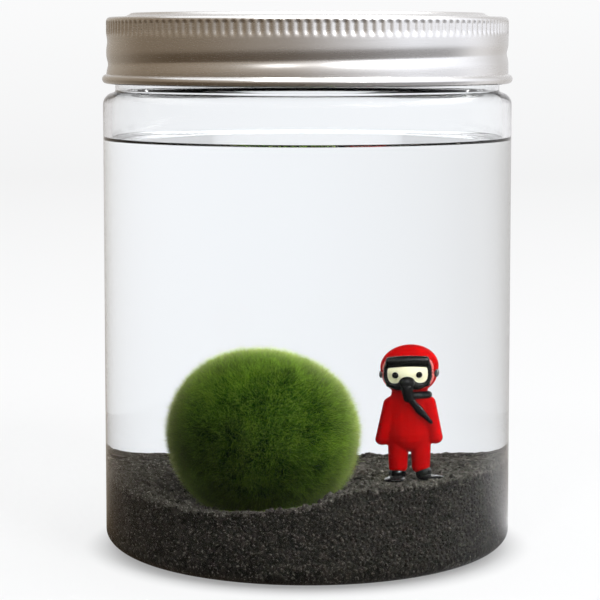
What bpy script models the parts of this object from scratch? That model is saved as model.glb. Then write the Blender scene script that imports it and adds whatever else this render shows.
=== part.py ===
"""Screw-lid glass jar holding a marimo moss ball, dark gravel, water and a small diver figure.

Units are metres, +Z is up, -Y is the front. The origin is the centre of the jar's flat base.
"""
import math

import bmesh
import bpy
from mathutils import Matrix, Vector

# Clearance left between neighbouring solids
GAP = 0.0003
# Facets round every turned piece
SEGMENTS = 40

# Jar: a straight-sided body under a narrower screw neck
JAR_RADIUS = 0.04565
JAR_WALL = 0.0020
JAR_FLOOR = 0.0016
JAR_HEEL_RADIUS = 0.0056
SHOULDER_HEIGHT = 0.1000
SHOULDER_RADIUS = 0.0027
NECK_RADIUS = 0.0429
NECK_WALL = 0.0020
RIM_HEIGHT = 0.1170
INNER_RADIUS = JAR_RADIUS - JAR_WALL
INNER_HEEL_RADIUS = JAR_HEEL_RADIUS - JAR_WALL

# Lid: a thin pressed shell with a curled bead at its hem
LID_RADIUS = 0.04485
LID_WALL = 0.0005
LID_HEM_HEIGHT = 0.1047
BEAD_RADIUS = 0.0010
BEAD_REACH = 0.0458
LID_CORNER_RADIUS = 0.0012
PANEL_RADIUS = 0.0385
PANEL_RISE = 0.0010
LINER_THICKNESS = 0.0012
LINER_RADIUS = 0.0438

# Thread: one turn on the neck, one pressed into the lid half a pitch below it
THREAD_PITCH = 0.00508
THREAD_START = 0.1103
THREAD_POINTS = 40
NECK_THREAD_RADIUS = 0.0008
LID_THREAD_RADIUS = 0.0007
THREAD_RESOLUTION = 0


# Contents
WATER_LEVEL = 0.0930
GRAVEL_LEVEL = 0.0176
GRAVEL_BACK_RISE = 0.0009
MOUND_RISE = 0.0037
HOLLOW_DROP = 0.0016
SURFACE_CELLS = 16
MOSS_CENTRE = Vector((-0.0086, -0.0205, 0.0305))
MOSS_RADIUS = 0.0182
MOSS_SEGMENTS = 24

# Diver: a figure about 30 mm tall
DIVER_PLACE = Vector((0.0180, -0.0060, 0.0181))
HEAD_CENTRE = Vector((0.0, 0.0, 0.0250))
HEAD_RADII = Vector((0.0052, 0.0048, 0.0050))
TORSO_TOP = Vector((0.0, 0.0, 0.0178))
TORSO_BOTTOM = Vector((0.0, 0.0, 0.0098))
TORSO_TOP_RADIUS = 0.0031
TORSO_BOTTOM_RADIUS = 0.0037
SHOULDER_JOINT = Vector((0.0033, 0.0, 0.0172))
ARM_END = Vector((0.0046, -0.0002, 0.0096))
SHOULDER_LIMB_RADIUS = 0.0016
ARM_END_RADIUS = 0.0014
HIP = Vector((0.0021, 0.0, 0.0092))
LEG_END = Vector((0.0021, 0.0, 0.0044))
HIP_RADIUS = 0.0017
LEG_END_RADIUS = 0.0016
FIGURE_SEGMENTS = 10
HEAD_SEGMENTS = 16

MASK_HALF_WIDTH = 0.0044
MASK_HALF_HEIGHT = 0.0037
MASK_HEIGHT = 0.0240
MASK_FRONT = 0.0064
WINDOW_HALF_WIDTH = 0.0036
WINDOW_HALF_HEIGHT = 0.0020
WINDOW_HEIGHT = 0.0238
FACE_FRONT = 0.0054
EYE_RADIUS = 0.0006
EYE_SPACING = 0.0021
EYE_HEIGHT = 0.0235
REGULATOR_RADII = Vector((0.0010, 0.0010, 0.0014))
REGULATOR_PLACE = Vector((0.0, -0.0061, 0.0185))
HOSE_RADIUS = 0.0007
HOSE_RESOLUTION = 1
HOSE_ROUTE = (
    Vector((0.0014, -0.0059, 0.0184)),
    Vector((0.0027, -0.0058, 0.0172)),
    Vector((0.0033, -0.0055, 0.0155)),
    Vector((0.0042, -0.0053, 0.0132)),
)
FIN_HEIGHT = 0.0024
FIN_BEVEL = 0.0008
LEFT_FIN_CENTRE = Vector((-0.0027, -0.0008, 0.0))
LEFT_FIN_SIZE = (0.0038, 0.0058)
RIGHT_FIN_CENTRE = Vector((0.0035, -0.0008, 0.0))
RIGHT_FIN_SIZE = (0.0050, 0.0048)

PARTS = "marimo_jar"
CUTTERS = "cutters"


def clear_scene():
    """Remove every object so the model starts empty."""
    for old in list(bpy.data.objects):
        bpy.data.objects.remove(old, do_unlink=True)


def collection(name):
    """Return the named collection, made and linked if it is new."""
    found = bpy.data.collections.get(name)
    if found is None:
        found = bpy.data.collections.new(name)
        bpy.context.scene.collection.children.link(found)
    return found


def add_object(name, data, group):
    """Link data as a new object; a cutter stays out of renders and is drawn as wire."""
    added = bpy.data.objects.new(name, data)
    collection(group).objects.link(added)
    if group == CUTTERS:
        added.hide_render = True
        added.display_type = "WIRE"
    return added


def material(name, colour, roughness, metallic=0.0, transmission=0.0):
    """Make a Principled material with one colour, roughness and metallic value."""
    made = bpy.data.materials.new(name)
    made.use_nodes = True
    shader = made.node_tree.nodes["Principled BSDF"]
    shader.inputs["Base Color"].default_value = (*colour, 1.0)
    shader.inputs["Roughness"].default_value = roughness
    shader.inputs["Metallic"].default_value = metallic
    shader.inputs["Transmission Weight"].default_value = transmission
    return made


def finish(piece, finish_material):
    """Give a piece its material and smooth shading with sharp creases."""
    piece.data.materials.clear()
    piece.data.materials.append(finish_material)
    piece.data.shade_smooth()
    return piece


def arc(centre_r, centre_z, radius, start_deg, end_deg, steps):
    """Return the (r, z) points of an arc, both ends included."""
    points = []
    for step in range(steps + 1):
        angle = math.radians(start_deg + (end_deg - start_deg) * step / steps)
        points.append((centre_r + radius * math.cos(angle), centre_z + radius * math.sin(angle)))
    return points


def turned(name, outline, group=PARTS, segments=SEGMENTS):
    """Turn an (r, z) outline about Z with a Screw modifier."""
    mesh = bpy.data.meshes.new(name)
    vertices = [(r, 0.0, z) for r, z in outline]
    edges = [(index, index + 1) for index in range(len(outline) - 1)]
    mesh.from_pydata(vertices, edges, [])
    piece = add_object(name, mesh, group)
    screw = piece.modifiers.new("turn", "SCREW")
    screw.axis = "Z"
    screw.angle = math.tau
    screw.steps = segments
    screw.render_steps = segments
    screw.use_merge_vertices = True
    screw.merge_threshold = 0.00001
    screw.use_smooth_shade = True
    return piece


def ellipsoid(name, centre, radii, group=PARTS, segments=HEAD_SEGMENTS, rings=10):
    """Make a UV sphere stretched to three radii, its scale already applied."""
    mesh = bpy.data.meshes.new(name)
    shape = bmesh.new()
    bmesh.ops.create_uvsphere(shape, u_segments=segments, v_segments=rings, radius=1.0)
    bmesh.ops.scale(shape, vec=radii, verts=shape.verts)
    shape.to_mesh(mesh)
    shape.free()
    piece = add_object(name, mesh, group)
    piece.location = centre
    return piece


def limb(name, top, bottom, top_radius, bottom_radius, group=CUTTERS):
    """Make a round-ended, tapering limb from one point to another."""
    length = (top - bottom).length
    profile = arc(0.0, length, top_radius, 90, 0, 3) + arc(0.0, 0.0, bottom_radius, 0, -90, 3)
    profile[0] = (0.0, length + top_radius)
    profile[-1] = (0.0, -bottom_radius)
    piece = turned(name, profile, group, FIGURE_SEGMENTS)
    piece.rotation_mode = "QUATERNION"
    piece.rotation_quaternion = (top - bottom).to_track_quat("Z", "Y")
    piece.location = bottom
    return piece


def oval_block(name, half_width, half_height, back, front, height, group=PARTS):
    """Make an upright oval cylinder that runs front to back."""
    mesh = bpy.data.meshes.new(name)
    shape = bmesh.new()
    bmesh.ops.create_cone(shape, cap_ends=True, segments=HEAD_SEGMENTS, radius1=1.0, radius2=1.0, depth=1.0)
    bmesh.ops.scale(shape, vec=(half_width, half_height, back - front), verts=shape.verts)
    bmesh.ops.rotate(shape, matrix=Matrix.Rotation(math.radians(90), 3, "X"), verts=shape.verts)
    shape.to_mesh(mesh)
    shape.free()
    piece = add_object(name, mesh, group)
    piece.location = (0.0, (back + front) / 2, height)
    return piece


def tube(name, route, radius, group, resolution):
    """Sweep a round section along a route and return it as a closed mesh object."""
    curve = bpy.data.curves.new(name, "CURVE")
    curve.dimensions = "3D"
    curve.bevel_depth = radius
    curve.bevel_resolution = resolution
    curve.use_fill_caps = True
    spline = curve.splines.new("POLY")
    spline.points.add(len(route) - 1)
    for point, place in zip(spline.points, route):
        point.co = (*place, 1.0)
    swept = bpy.data.objects.new(name + "_sweep", curve)
    bpy.context.scene.collection.objects.link(swept)
    bpy.context.view_layer.update()
    evaluated = swept.evaluated_get(bpy.context.evaluated_depsgraph_get())
    mesh = bpy.data.meshes.new_from_object(evaluated)
    mesh.name = name
    shape = bmesh.new()
    shape.from_mesh(mesh)
    bmesh.ops.remove_doubles(shape, verts=shape.verts, dist=0.00001)
    bmesh.ops.recalc_face_normals(shape, faces=shape.faces)
    shape.to_mesh(mesh)
    shape.free()
    piece = add_object(name, mesh, group)
    piece.matrix_world = swept.matrix_world
    bpy.data.objects.remove(swept, do_unlink=True)
    bpy.data.curves.remove(curve)
    return piece


def combine(piece, other, operation):
    """Join or cut a piece with another object."""
    boolean = piece.modifiers.new(operation.lower(), "BOOLEAN")
    boolean.operation = operation
    boolean.solver = "EXACT"
    boolean.object = other
    return piece


def smoothstep(low, high, value):
    """Rise smoothly from 0 at low to 1 at high."""
    t = min(max((value - low) / (high - low), 0.0), 1.0)
    return t * t * (3.0 - 2.0 * t)


def gravel_height(x, y):
    """Return the gravel's height: a mound along the right front wall, a hollow at the left front."""
    reach = math.hypot(x, y)
    bearing = math.degrees(math.atan2(x, -y))
    near_wall = smoothstep(0.024, 0.043, reach)
    mound = smoothstep(-4.0, 14.0, bearing) * (1.0 - smoothstep(75.0, 115.0, bearing))
    hollow = smoothstep(-75.0, -45.0, bearing) * (1.0 - smoothstep(-30.0, -8.0, bearing))
    rise = GRAVEL_BACK_RISE * smoothstep(-0.010, 0.040, y)
    return GRAVEL_LEVEL + rise + near_wall * (MOUND_RISE * mound - HOLLOW_DROP * hollow)


def surface_block(name, lift, far_height):
    """Make a cutter between the gravel's surface, lifted by lift, and a flat far height."""
    mesh = bpy.data.meshes.new(name)
    shape = bmesh.new()
    reach = JAR_RADIUS + 0.002
    bmesh.ops.create_grid(shape, x_segments=SURFACE_CELLS, y_segments=SURFACE_CELLS, size=reach)
    for vertex in shape.verts:
        vertex.co.z = gravel_height(vertex.co.x, vertex.co.y) + lift
    extruded = bmesh.ops.extrude_face_region(shape, geom=shape.faces[:])
    for item in extruded["geom"]:
        if isinstance(item, bmesh.types.BMVert):
            item.co.z = far_height
    bmesh.ops.recalc_face_normals(shape, faces=shape.faces)
    shape.to_mesh(mesh)
    shape.free()
    return add_object(name, mesh, CUTTERS)


def helix(radius, start_height):
    """Return the points of one right-hand thread turn."""
    route = []
    for index in range(THREAD_POINTS + 1):
        part = index / THREAD_POINTS
        angle = math.tau * part
        route.append(
            Vector((radius * math.cos(angle), radius * math.sin(angle), start_height + THREAD_PITCH * part))
        )
    return route


def build_jar(glass):
    """Build the jar: floor, rounded heel, straight wall, shoulder and threaded neck."""
    neck_inner = NECK_RADIUS - NECK_WALL
    shoulder_top = SHOULDER_HEIGHT + SHOULDER_RADIUS
    outline = [(0.0, JAR_FLOOR)]
    outline += arc(
        INNER_RADIUS - INNER_HEEL_RADIUS, JAR_FLOOR + INNER_HEEL_RADIUS, INNER_HEEL_RADIUS, -90, 0, 3
    )
    outline += arc(
        INNER_RADIUS - SHOULDER_RADIUS, SHOULDER_HEIGHT - JAR_WALL / 2, SHOULDER_RADIUS, 0, 90, 2
    )
    outline.append((neck_inner, shoulder_top + JAR_WALL / 2))
    outline.append((neck_inner, RIM_HEIGHT - 0.0004))
    outline.append((neck_inner + 0.0004, RIM_HEIGHT))
    outline.append((NECK_RADIUS - 0.0004, RIM_HEIGHT))
    outline.append((NECK_RADIUS, RIM_HEIGHT - 0.0004))
    outline.append((NECK_RADIUS, shoulder_top))
    outline += arc(JAR_RADIUS - SHOULDER_RADIUS, SHOULDER_HEIGHT, SHOULDER_RADIUS, 85, 0, 2)
    outline += arc(JAR_RADIUS - JAR_HEEL_RADIUS, JAR_HEEL_RADIUS, JAR_HEEL_RADIUS, 0, -90, 4)
    outline.append((0.0, 0.0))
    jar = turned("jar", outline)
    ridge_route = helix(NECK_RADIUS + NECK_THREAD_RADIUS / 4, THREAD_START)
    combine(jar, tube("neck_thread", ridge_route, NECK_THREAD_RADIUS, CUTTERS, THREAD_RESOLUTION), "UNION")
    return finish(jar, glass)


def build_lid(aluminium):
    """Build the lid shell: raised panel, rounded corner, straight skirt, bead and pressed thread."""
    liner_top = RIM_HEIGHT + GAP + LINER_THICKNESS
    underside = liner_top + GAP
    top = underside + LID_WALL
    inner = LID_RADIUS - LID_WALL
    bead_height = LID_HEM_HEIGHT + BEAD_RADIUS
    outline = [(0.0, top + PANEL_RISE), (PANEL_RADIUS, top + PANEL_RISE), (PANEL_RADIUS + PANEL_RISE, top)]
    outline += arc(LID_RADIUS - LID_CORNER_RADIUS, top - LID_CORNER_RADIUS, LID_CORNER_RADIUS, 80, 0, 2)
    outline.append((LID_RADIUS, bead_height + BEAD_RADIUS))
    outline += arc(BEAD_REACH - BEAD_RADIUS, bead_height, BEAD_RADIUS, 40, -80, 3)
    outline.append((inner, LID_HEM_HEIGHT))
    outline.append((inner, underside - LID_WALL))
    outline.append((inner - LID_WALL, underside))
    outline.append((PANEL_RADIUS + PANEL_RISE - LID_WALL, underside))
    outline.append((PANEL_RADIUS - LID_WALL, underside + PANEL_RISE))
    outline.append((0.0, underside + PANEL_RISE))
    lid = turned("lid", outline)
    ridge_route = helix(inner - LID_THREAD_RADIUS / 10, THREAD_START - THREAD_PITCH / 2)
    combine(lid, tube("lid_thread", ridge_route, LID_THREAD_RADIUS, CUTTERS, THREAD_RESOLUTION), "UNION")
    return finish(lid, aluminium)


def build_liner(foam):
    """Build the soft sealing disc that sits between the rim and the lid."""
    low = RIM_HEIGHT + GAP
    high = low + LINER_THICKNESS
    outline = [(0.0, high), (LINER_RADIUS, high), (LINER_RADIUS, low), (0.0, low)]
    return finish(turned("lid_liner", outline), foam)


def moss_sphere(name, grow, group):
    """Make the moss ball's round shape, grown outward by grow."""
    radii = (MOSS_RADIUS + grow,) * 3
    return ellipsoid(name, MOSS_CENTRE, radii, group, MOSS_SEGMENTS, MOSS_SEGMENTS // 2)


def build_moss(moss):
    """Build the moss ball as one plain round solid."""
    return finish(moss_sphere("moss_ball", 0.0, PARTS), moss)


def build_gravel(gravel, hollow):
    """Build the gravel bed, which follows the jar's heel below and the sloping surface above."""
    heel = INNER_HEEL_RADIUS - GAP
    radius = INNER_RADIUS - GAP
    floor = JAR_FLOOR + GAP
    far_height = GRAVEL_LEVEL + 2.0 * MOUND_RISE
    outline = [(0.0, far_height), (radius, far_height)]
    outline += arc(radius - heel, floor + heel, heel, 0, -90, 3)
    outline.append((0.0, floor))
    bed = turned("gravel", outline)
    combine(bed, surface_block("gravel_trim", 0.0, far_height + 0.01), "DIFFERENCE")
    combine(bed, hollow, "DIFFERENCE")
    return finish(bed, gravel)


def build_water(water, hollow, figure_hollows):
    """Build the water, open below where the moss ball and the figure stand in it."""
    radius = INNER_RADIUS - GAP
    low = GRAVEL_LEVEL - 2.0 * MOUND_RISE
    outline = [(0.0, WATER_LEVEL), (radius, WATER_LEVEL), (radius, low), (0.0, low)]
    body = turned("water", outline)
    combine(body, surface_block("water_trim", GAP, low - 0.01), "DIFFERENCE")
    combine(body, hollow, "DIFFERENCE")
    for figure_hollow in figure_hollows:
        combine(body, figure_hollow, "DIFFERENCE")
    return finish(body, water)


def mirrored(point, side):
    """Return a point of the figure's right half moved to the given side."""
    return Vector((point.x * side, point.y, point.z))


def figure_limbs(prefix, grow):
    """Make the torso, arms and legs, each grown outward by grow."""
    limbs = [
        limb(prefix + "_torso", TORSO_TOP, TORSO_BOTTOM, TORSO_TOP_RADIUS + grow, TORSO_BOTTOM_RADIUS + grow)
    ]
    for side, word in ((-1, "left"), (1, "right")):
        shoulder = mirrored(SHOULDER_JOINT, side)
        hand = mirrored(ARM_END, side)
        hip = mirrored(HIP, side)
        ankle = mirrored(LEG_END, side)
        limbs.append(
            limb(f"{prefix}_arm_{word}", shoulder, hand, SHOULDER_LIMB_RADIUS + grow, ARM_END_RADIUS + grow)
        )
        limbs.append(limb(f"{prefix}_leg_{word}", hip, ankle, HIP_RADIUS + grow, LEG_END_RADIUS + grow))
    return limbs


def stand(pieces, place):
    """Parent the figure's pieces to the empty that stands on the gravel."""
    for piece in pieces:
        piece.parent = place
    return pieces


def build_suit(red, place):
    """Build the diver's body and hood as one solid."""
    suit = ellipsoid("diver_suit", HEAD_CENTRE, HEAD_RADII)
    limbs = figure_limbs("suit", 0.0)
    for part in limbs:
        combine(suit, part, "UNION")
    stand([suit, *limbs], place)
    return finish(suit, red)


def head_clearance(name, place):
    """Make the cutter that keeps the mask and the face clear of the hood."""
    radii = HEAD_RADII + Vector((GAP, GAP, GAP))
    cutter = ellipsoid(name, HEAD_CENTRE, radii, CUTTERS)
    stand([cutter], place)
    return cutter


def build_mask(black, place):
    """Build the mask frame: an oval block with a window, shaped to the hood behind."""
    mask = oval_block("diver_mask", MASK_HALF_WIDTH, MASK_HALF_HEIGHT, -0.002, -MASK_FRONT, MASK_HEIGHT)
    window = oval_block(
        "mask_window", WINDOW_HALF_WIDTH, WINDOW_HALF_HEIGHT, 0.002, -MASK_FRONT - 0.002, WINDOW_HEIGHT, CUTTERS
    )
    combine(mask, head_clearance("mask_clearance", place), "DIFFERENCE")
    combine(mask, window, "DIFFERENCE")
    stand([mask, window], place)
    return finish(mask, black)


def build_face(cream, place):
    """Build the cream face plate that fills the mask's window."""
    face = oval_block(
        "diver_face", WINDOW_HALF_WIDTH - GAP, WINDOW_HALF_HEIGHT - GAP, -0.002, -FACE_FRONT, WINDOW_HEIGHT
    )
    combine(face, head_clearance("face_clearance", place), "DIFFERENCE")
    stand([face], place)
    return finish(face, cream)


def build_eyes(black, place):
    """Build the two bead eyes in front of the face plate."""
    eyes = []
    for side, word in ((-1, "left"), (1, "right")):
        centre = Vector((side * EYE_SPACING, -FACE_FRONT - GAP - EYE_RADIUS / 2, EYE_HEIGHT))
        radii = (EYE_RADIUS, EYE_RADIUS / 2, EYE_RADIUS)
        eye = ellipsoid(f"diver_eye_{word}", centre, radii, segments=8, rings=6)
        eyes.append(finish(eye, black))
    return stand(eyes, place)


def build_regulator(black, place):
    """Build the round mouthpiece below the mask."""
    regulator = ellipsoid("diver_regulator", REGULATOR_PLACE, REGULATOR_RADII, segments=12, rings=8)
    stand([regulator], place)
    return finish(regulator, black)


def build_hose(black, place):
    """Build the short hose that runs from the mouthpiece across the chest."""
    hose = tube("diver_hose", HOSE_ROUTE, HOSE_RADIUS, PARTS, HOSE_RESOLUTION)
    stand([hose], place)
    return finish(hose, black)


def fin(name, centre, size, grow, group):
    """Make one foot fin as a block with rounded edges."""
    mesh = bpy.data.meshes.new(name)
    shape = bmesh.new()
    bmesh.ops.create_cube(shape, size=1.0)
    dimensions = (size[0] + 2 * grow, size[1] + 2 * grow, FIN_HEIGHT + 2 * grow)
    bmesh.ops.scale(shape, vec=dimensions, verts=shape.verts)
    shape.to_mesh(mesh)
    shape.free()
    block = add_object(name, mesh, group)
    block.location = centre + Vector((0.0, 0.0, FIN_HEIGHT / 2))
    bevel = block.modifiers.new("round", "BEVEL")
    bevel.width = FIN_BEVEL
    bevel.segments = 2
    return block


def fins(prefix, grow, group):
    """Make the left and right fins."""
    return [
        fin(prefix + "_left", LEFT_FIN_CENTRE, LEFT_FIN_SIZE, grow, group),
        fin(prefix + "_right", RIGHT_FIN_CENTRE, RIGHT_FIN_SIZE, grow, group),
    ]


def figure_cutters(place):
    """Make grown copies of the figure's shapes, which the water is cut with."""
    grow = GAP * 1.2
    radii = HEAD_RADII + Vector((grow, grow, grow))
    cutters = [ellipsoid("head_hollow", HEAD_CENTRE, radii, CUTTERS)]
    cutters += figure_limbs("hollow", grow)
    cutters.append(
        oval_block(
            "mask_hollow",
            MASK_HALF_WIDTH + grow,
            MASK_HALF_HEIGHT + grow,
            0.0,
            -MASK_FRONT - 2 * grow,
            MASK_HEIGHT,
            CUTTERS,
        )
    )
    mouth_radii = REGULATOR_RADII + Vector((grow, grow, grow))
    cutters.append(ellipsoid("regulator_hollow", REGULATOR_PLACE, mouth_radii, CUTTERS, segments=12, rings=8))
    first, last = HOSE_ROUTE[0], HOSE_ROUTE[-1]
    start = first - (HOSE_ROUTE[1] - first).normalized() * grow
    end = last + (last - HOSE_ROUTE[-2]).normalized() * grow
    route = (start, *HOSE_ROUTE[1:-1], end)
    cutters.append(tube("hose_hollow", route, HOSE_RADIUS + grow, CUTTERS, HOSE_RESOLUTION))
    cutters += fins("fin_hollow", grow, CUTTERS)
    return stand(cutters, place)


def build():
    """Build every piece of the jar and its contents."""
    clear_scene()
    glass = material("clear_glass", (0.93, 0.96, 0.97), 0.02, transmission=1.0)
    aluminium = material("satin_aluminium", (0.66, 0.65, 0.64), 0.32, metallic=1.0)
    foam = material("liner_foam", (0.90, 0.90, 0.88), 0.8)
    water = material("water", (0.90, 0.95, 1.0), 0.0, transmission=1.0)
    stones = material("dark_gravel", (0.045, 0.043, 0.04), 0.7)
    moss = material("moss_green", (0.10, 0.22, 0.03), 0.9)
    red = material("red_suit", (0.55, 0.005, 0.012), 0.4)
    black = material("gloss_black", (0.01, 0.01, 0.01), 0.12)
    cream = material("cream_face", (0.86, 0.80, 0.45), 0.4)

    build_jar(glass)
    build_lid(aluminium)
    build_liner(foam)
    build_moss(moss)
    hollow = moss_sphere("moss_hollow", GAP, CUTTERS)
    build_gravel(stones, hollow)

    place = bpy.data.objects.new("diver_place", None)
    collection(PARTS).objects.link(place)
    place.location = DIVER_PLACE
    build_suit(red, place)
    build_mask(black, place)
    build_face(cream, place)
    build_eyes(black, place)
    build_regulator(black, place)
    build_hose(black, place)
    for foot in stand(fins("diver_fin", 0.0, PARTS), place):
        finish(foot, black)

    build_water(water, hollow, figure_cutters(place))


build()
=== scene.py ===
"""Looks of a screw-lid glass jar that holds a marimo moss ball, gravel, water and a toy diver."""
import itertools
import logging
import math
import random
from dataclasses import dataclass, field
from enum import Enum
from typing import Iterable, Sequence

import bmesh
import bpy
from mathutils import Matrix, Vector, noise


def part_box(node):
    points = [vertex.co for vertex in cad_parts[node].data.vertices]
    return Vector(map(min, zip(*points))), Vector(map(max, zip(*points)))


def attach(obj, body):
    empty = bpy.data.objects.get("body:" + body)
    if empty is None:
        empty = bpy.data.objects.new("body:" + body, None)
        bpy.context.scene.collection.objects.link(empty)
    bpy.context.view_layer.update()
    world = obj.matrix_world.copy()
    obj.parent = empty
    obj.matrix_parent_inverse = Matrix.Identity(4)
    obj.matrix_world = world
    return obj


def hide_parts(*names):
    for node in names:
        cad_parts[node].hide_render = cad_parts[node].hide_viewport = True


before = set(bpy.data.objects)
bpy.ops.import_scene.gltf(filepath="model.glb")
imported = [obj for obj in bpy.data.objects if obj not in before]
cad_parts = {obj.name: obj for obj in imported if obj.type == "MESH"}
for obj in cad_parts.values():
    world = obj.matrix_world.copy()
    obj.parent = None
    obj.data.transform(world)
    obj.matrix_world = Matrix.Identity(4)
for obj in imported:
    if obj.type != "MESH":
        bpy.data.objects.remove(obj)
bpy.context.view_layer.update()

LOG = logging.getLogger("marimo_jar")
MM = 0.001
Point2 = tuple[float, float]
Colour = tuple[float, float, float]
Value = float | Sequence[float] | bpy.types.NodeSocket


class Body(str, Enum):
    """The bodies that pieces ride on."""

    VESSEL = "vessel"
    SEAL = "seal"
    CAP = "cap"


class Spread(str, Enum):
    """How scattered points are spaced on a surface."""

    RANDOM = "random"
    EVEN = "even"


# ---------------------------------------------------------------------------
# Small shared tools
# ---------------------------------------------------------------------------


def smoothstep(low: float, high: float, value: float) -> float:
    """Return a smooth rise from 0 at low to 1 at high."""
    t = min(max((value - low) / (high - low), 0.0), 1.0)
    return t * t * (3.0 - 2.0 * t)


def arc(centre: Point2, radius: float, start: float, end: float, steps: int) -> list[Point2]:
    """Return the (r, z) points of an arc.

    Args:
        centre: The arc's centre.
        radius: Its radius.
        start: The first angle in degrees, from +r towards +z.
        end: The last angle in degrees.
        steps: The number of segments.

    Returns:
        The points, both ends included.
    """
    points = []
    for step in range(steps + 1):
        angle = math.radians(start + (end - start) * step / steps)
        points.append((centre[0] + radius * math.cos(angle), centre[1] + radius * math.sin(angle)))
    return points


def straight(start: Point2, end: Point2, steps: int) -> list[Point2]:
    """Return evenly spaced (r, z) points along a line.

    Args:
        start: The line's start, which is left out.
        end: The line's end.
        steps: The number of points.

    Returns:
        The points.
    """
    return [
        (start[0] + (end[0] - start[0]) * k / steps, start[1] + (end[1] - start[1]) * k / steps)
        for k in range(1, steps + 1)
    ]


def spun(outline: Sequence[Point2], steps: int) -> bmesh.types.BMesh:
    """Spin an (r, z) outline into a closed surface about Z.

    Args:
        outline: The outline, from the axis and back to it.
        steps: The number of segments round the axis.

    Returns:
        The spun mesh with its doubles merged and its normals outward.
    """
    shape = bmesh.new()
    verts = [shape.verts.new((r, 0.0, z)) for r, z in outline]
    edges = [shape.edges.new(pair) for pair in zip(verts, verts[1:])]
    bmesh.ops.spin(
        shape, geom=verts + edges, cent=(0, 0, 0), axis=(0, 0, 1), angle=math.tau, steps=steps, use_merge=True
    )
    bmesh.ops.remove_doubles(shape, verts=shape.verts, dist=0.004 * MM)
    bmesh.ops.recalc_face_normals(shape, faces=shape.faces)
    return shape


def shaped(name: str, shape: bmesh.types.BMesh, sharp_deg: float = 40.0) -> bpy.types.Object:
    """Turn a bmesh into a linked, smooth-shaded object and free it.

    Args:
        name: The object's name.
        shape: The bmesh, which is freed.
        sharp_deg: The angle past which an edge is sharp.

    Returns:
        The new object.
    """
    mesh = bpy.data.meshes.new(name)
    shape.to_mesh(mesh)
    shape.free()
    mesh.shade_smooth()
    mesh.set_sharp_from_angle(angle=math.radians(sharp_deg))
    made = bpy.data.objects.new(name, mesh)
    bpy.context.scene.collection.objects.link(made)
    return made


def applied(piece: bpy.types.Object) -> bpy.types.Object:
    """Apply every modifier of a piece and return it.

    Args:
        piece: The object whose modifiers are applied.

    Returns:
        The same object.
    """
    bpy.context.view_layer.update()
    evaluated = piece.evaluated_get(bpy.context.evaluated_depsgraph_get())
    mesh = bpy.data.meshes.new_from_object(evaluated)
    mesh.name = piece.name
    piece.modifiers.clear()
    piece.data = mesh
    return piece


def placed(piece: bpy.types.Object, place: Vector) -> bpy.types.Object:
    """Move a piece's mesh so that its object can stay at the origin."""
    piece.data.transform(Matrix.Translation(place))
    return piece


def dressed(
    piece: bpy.types.Object, material: bpy.types.Material, body: Body, slot: str, *nodes: str
) -> None:
    """Give a piece its material and body, and hide the CAD nodes that it stands for.

    Args:
        piece: The finished piece.
        material: Its material.
        body: The body that it rides on.
        slot: The name of a material slot, which is not used.
        nodes: The CAD nodes that it stands for.
    """
    piece.data.materials.clear()
    piece.data.materials.append(material)
    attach(piece, body.value)
    if nodes:
        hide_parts(*nodes)
    LOG.info("%s: %d faces on %s", piece.name, len(piece.data.polygons), body.value)


def ellipsoid(shape: bmesh.types.BMesh, centre: Vector, radii: Sequence[float], segments: int) -> None:
    """Add a stretched sphere to a bmesh.

    Args:
        shape: The bmesh that it is added to.
        centre: Its centre.
        radii: Its half sizes along X, Y and Z.
        segments: The number of segments round it.
    """
    rows = segments // 2
    made = bmesh.ops.create_uvsphere(shape, u_segments=segments, v_segments=rows, radius=1.0)["verts"]
    bmesh.ops.scale(shape, vec=radii, verts=made)
    bmesh.ops.translate(shape, vec=centre, verts=made)


def limb(
    shape: bmesh.types.BMesh,
    top: Vector,
    bottom: Vector,
    top_radius: float,
    bottom_radius: float,
    flat: float = 1.0,
) -> None:
    """Add a tapering limb as a chain of overlapping spheres, flattened front to back.

    Args:
        shape: The bmesh that it is added to.
        top: The first sphere's centre.
        bottom: The last sphere's centre.
        top_radius: The first sphere's radius.
        bottom_radius: The last sphere's radius.
        flat: The depth as a share of the width.
    """
    links = 9
    for link in range(links + 1):
        t = link / links
        radius = top_radius + (bottom_radius - top_radius) * t
        ellipsoid(shape, top.lerp(bottom, t), (radius, radius * flat, radius), 16)


# ---------------------------------------------------------------------------
# Finishes
# ---------------------------------------------------------------------------


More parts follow.
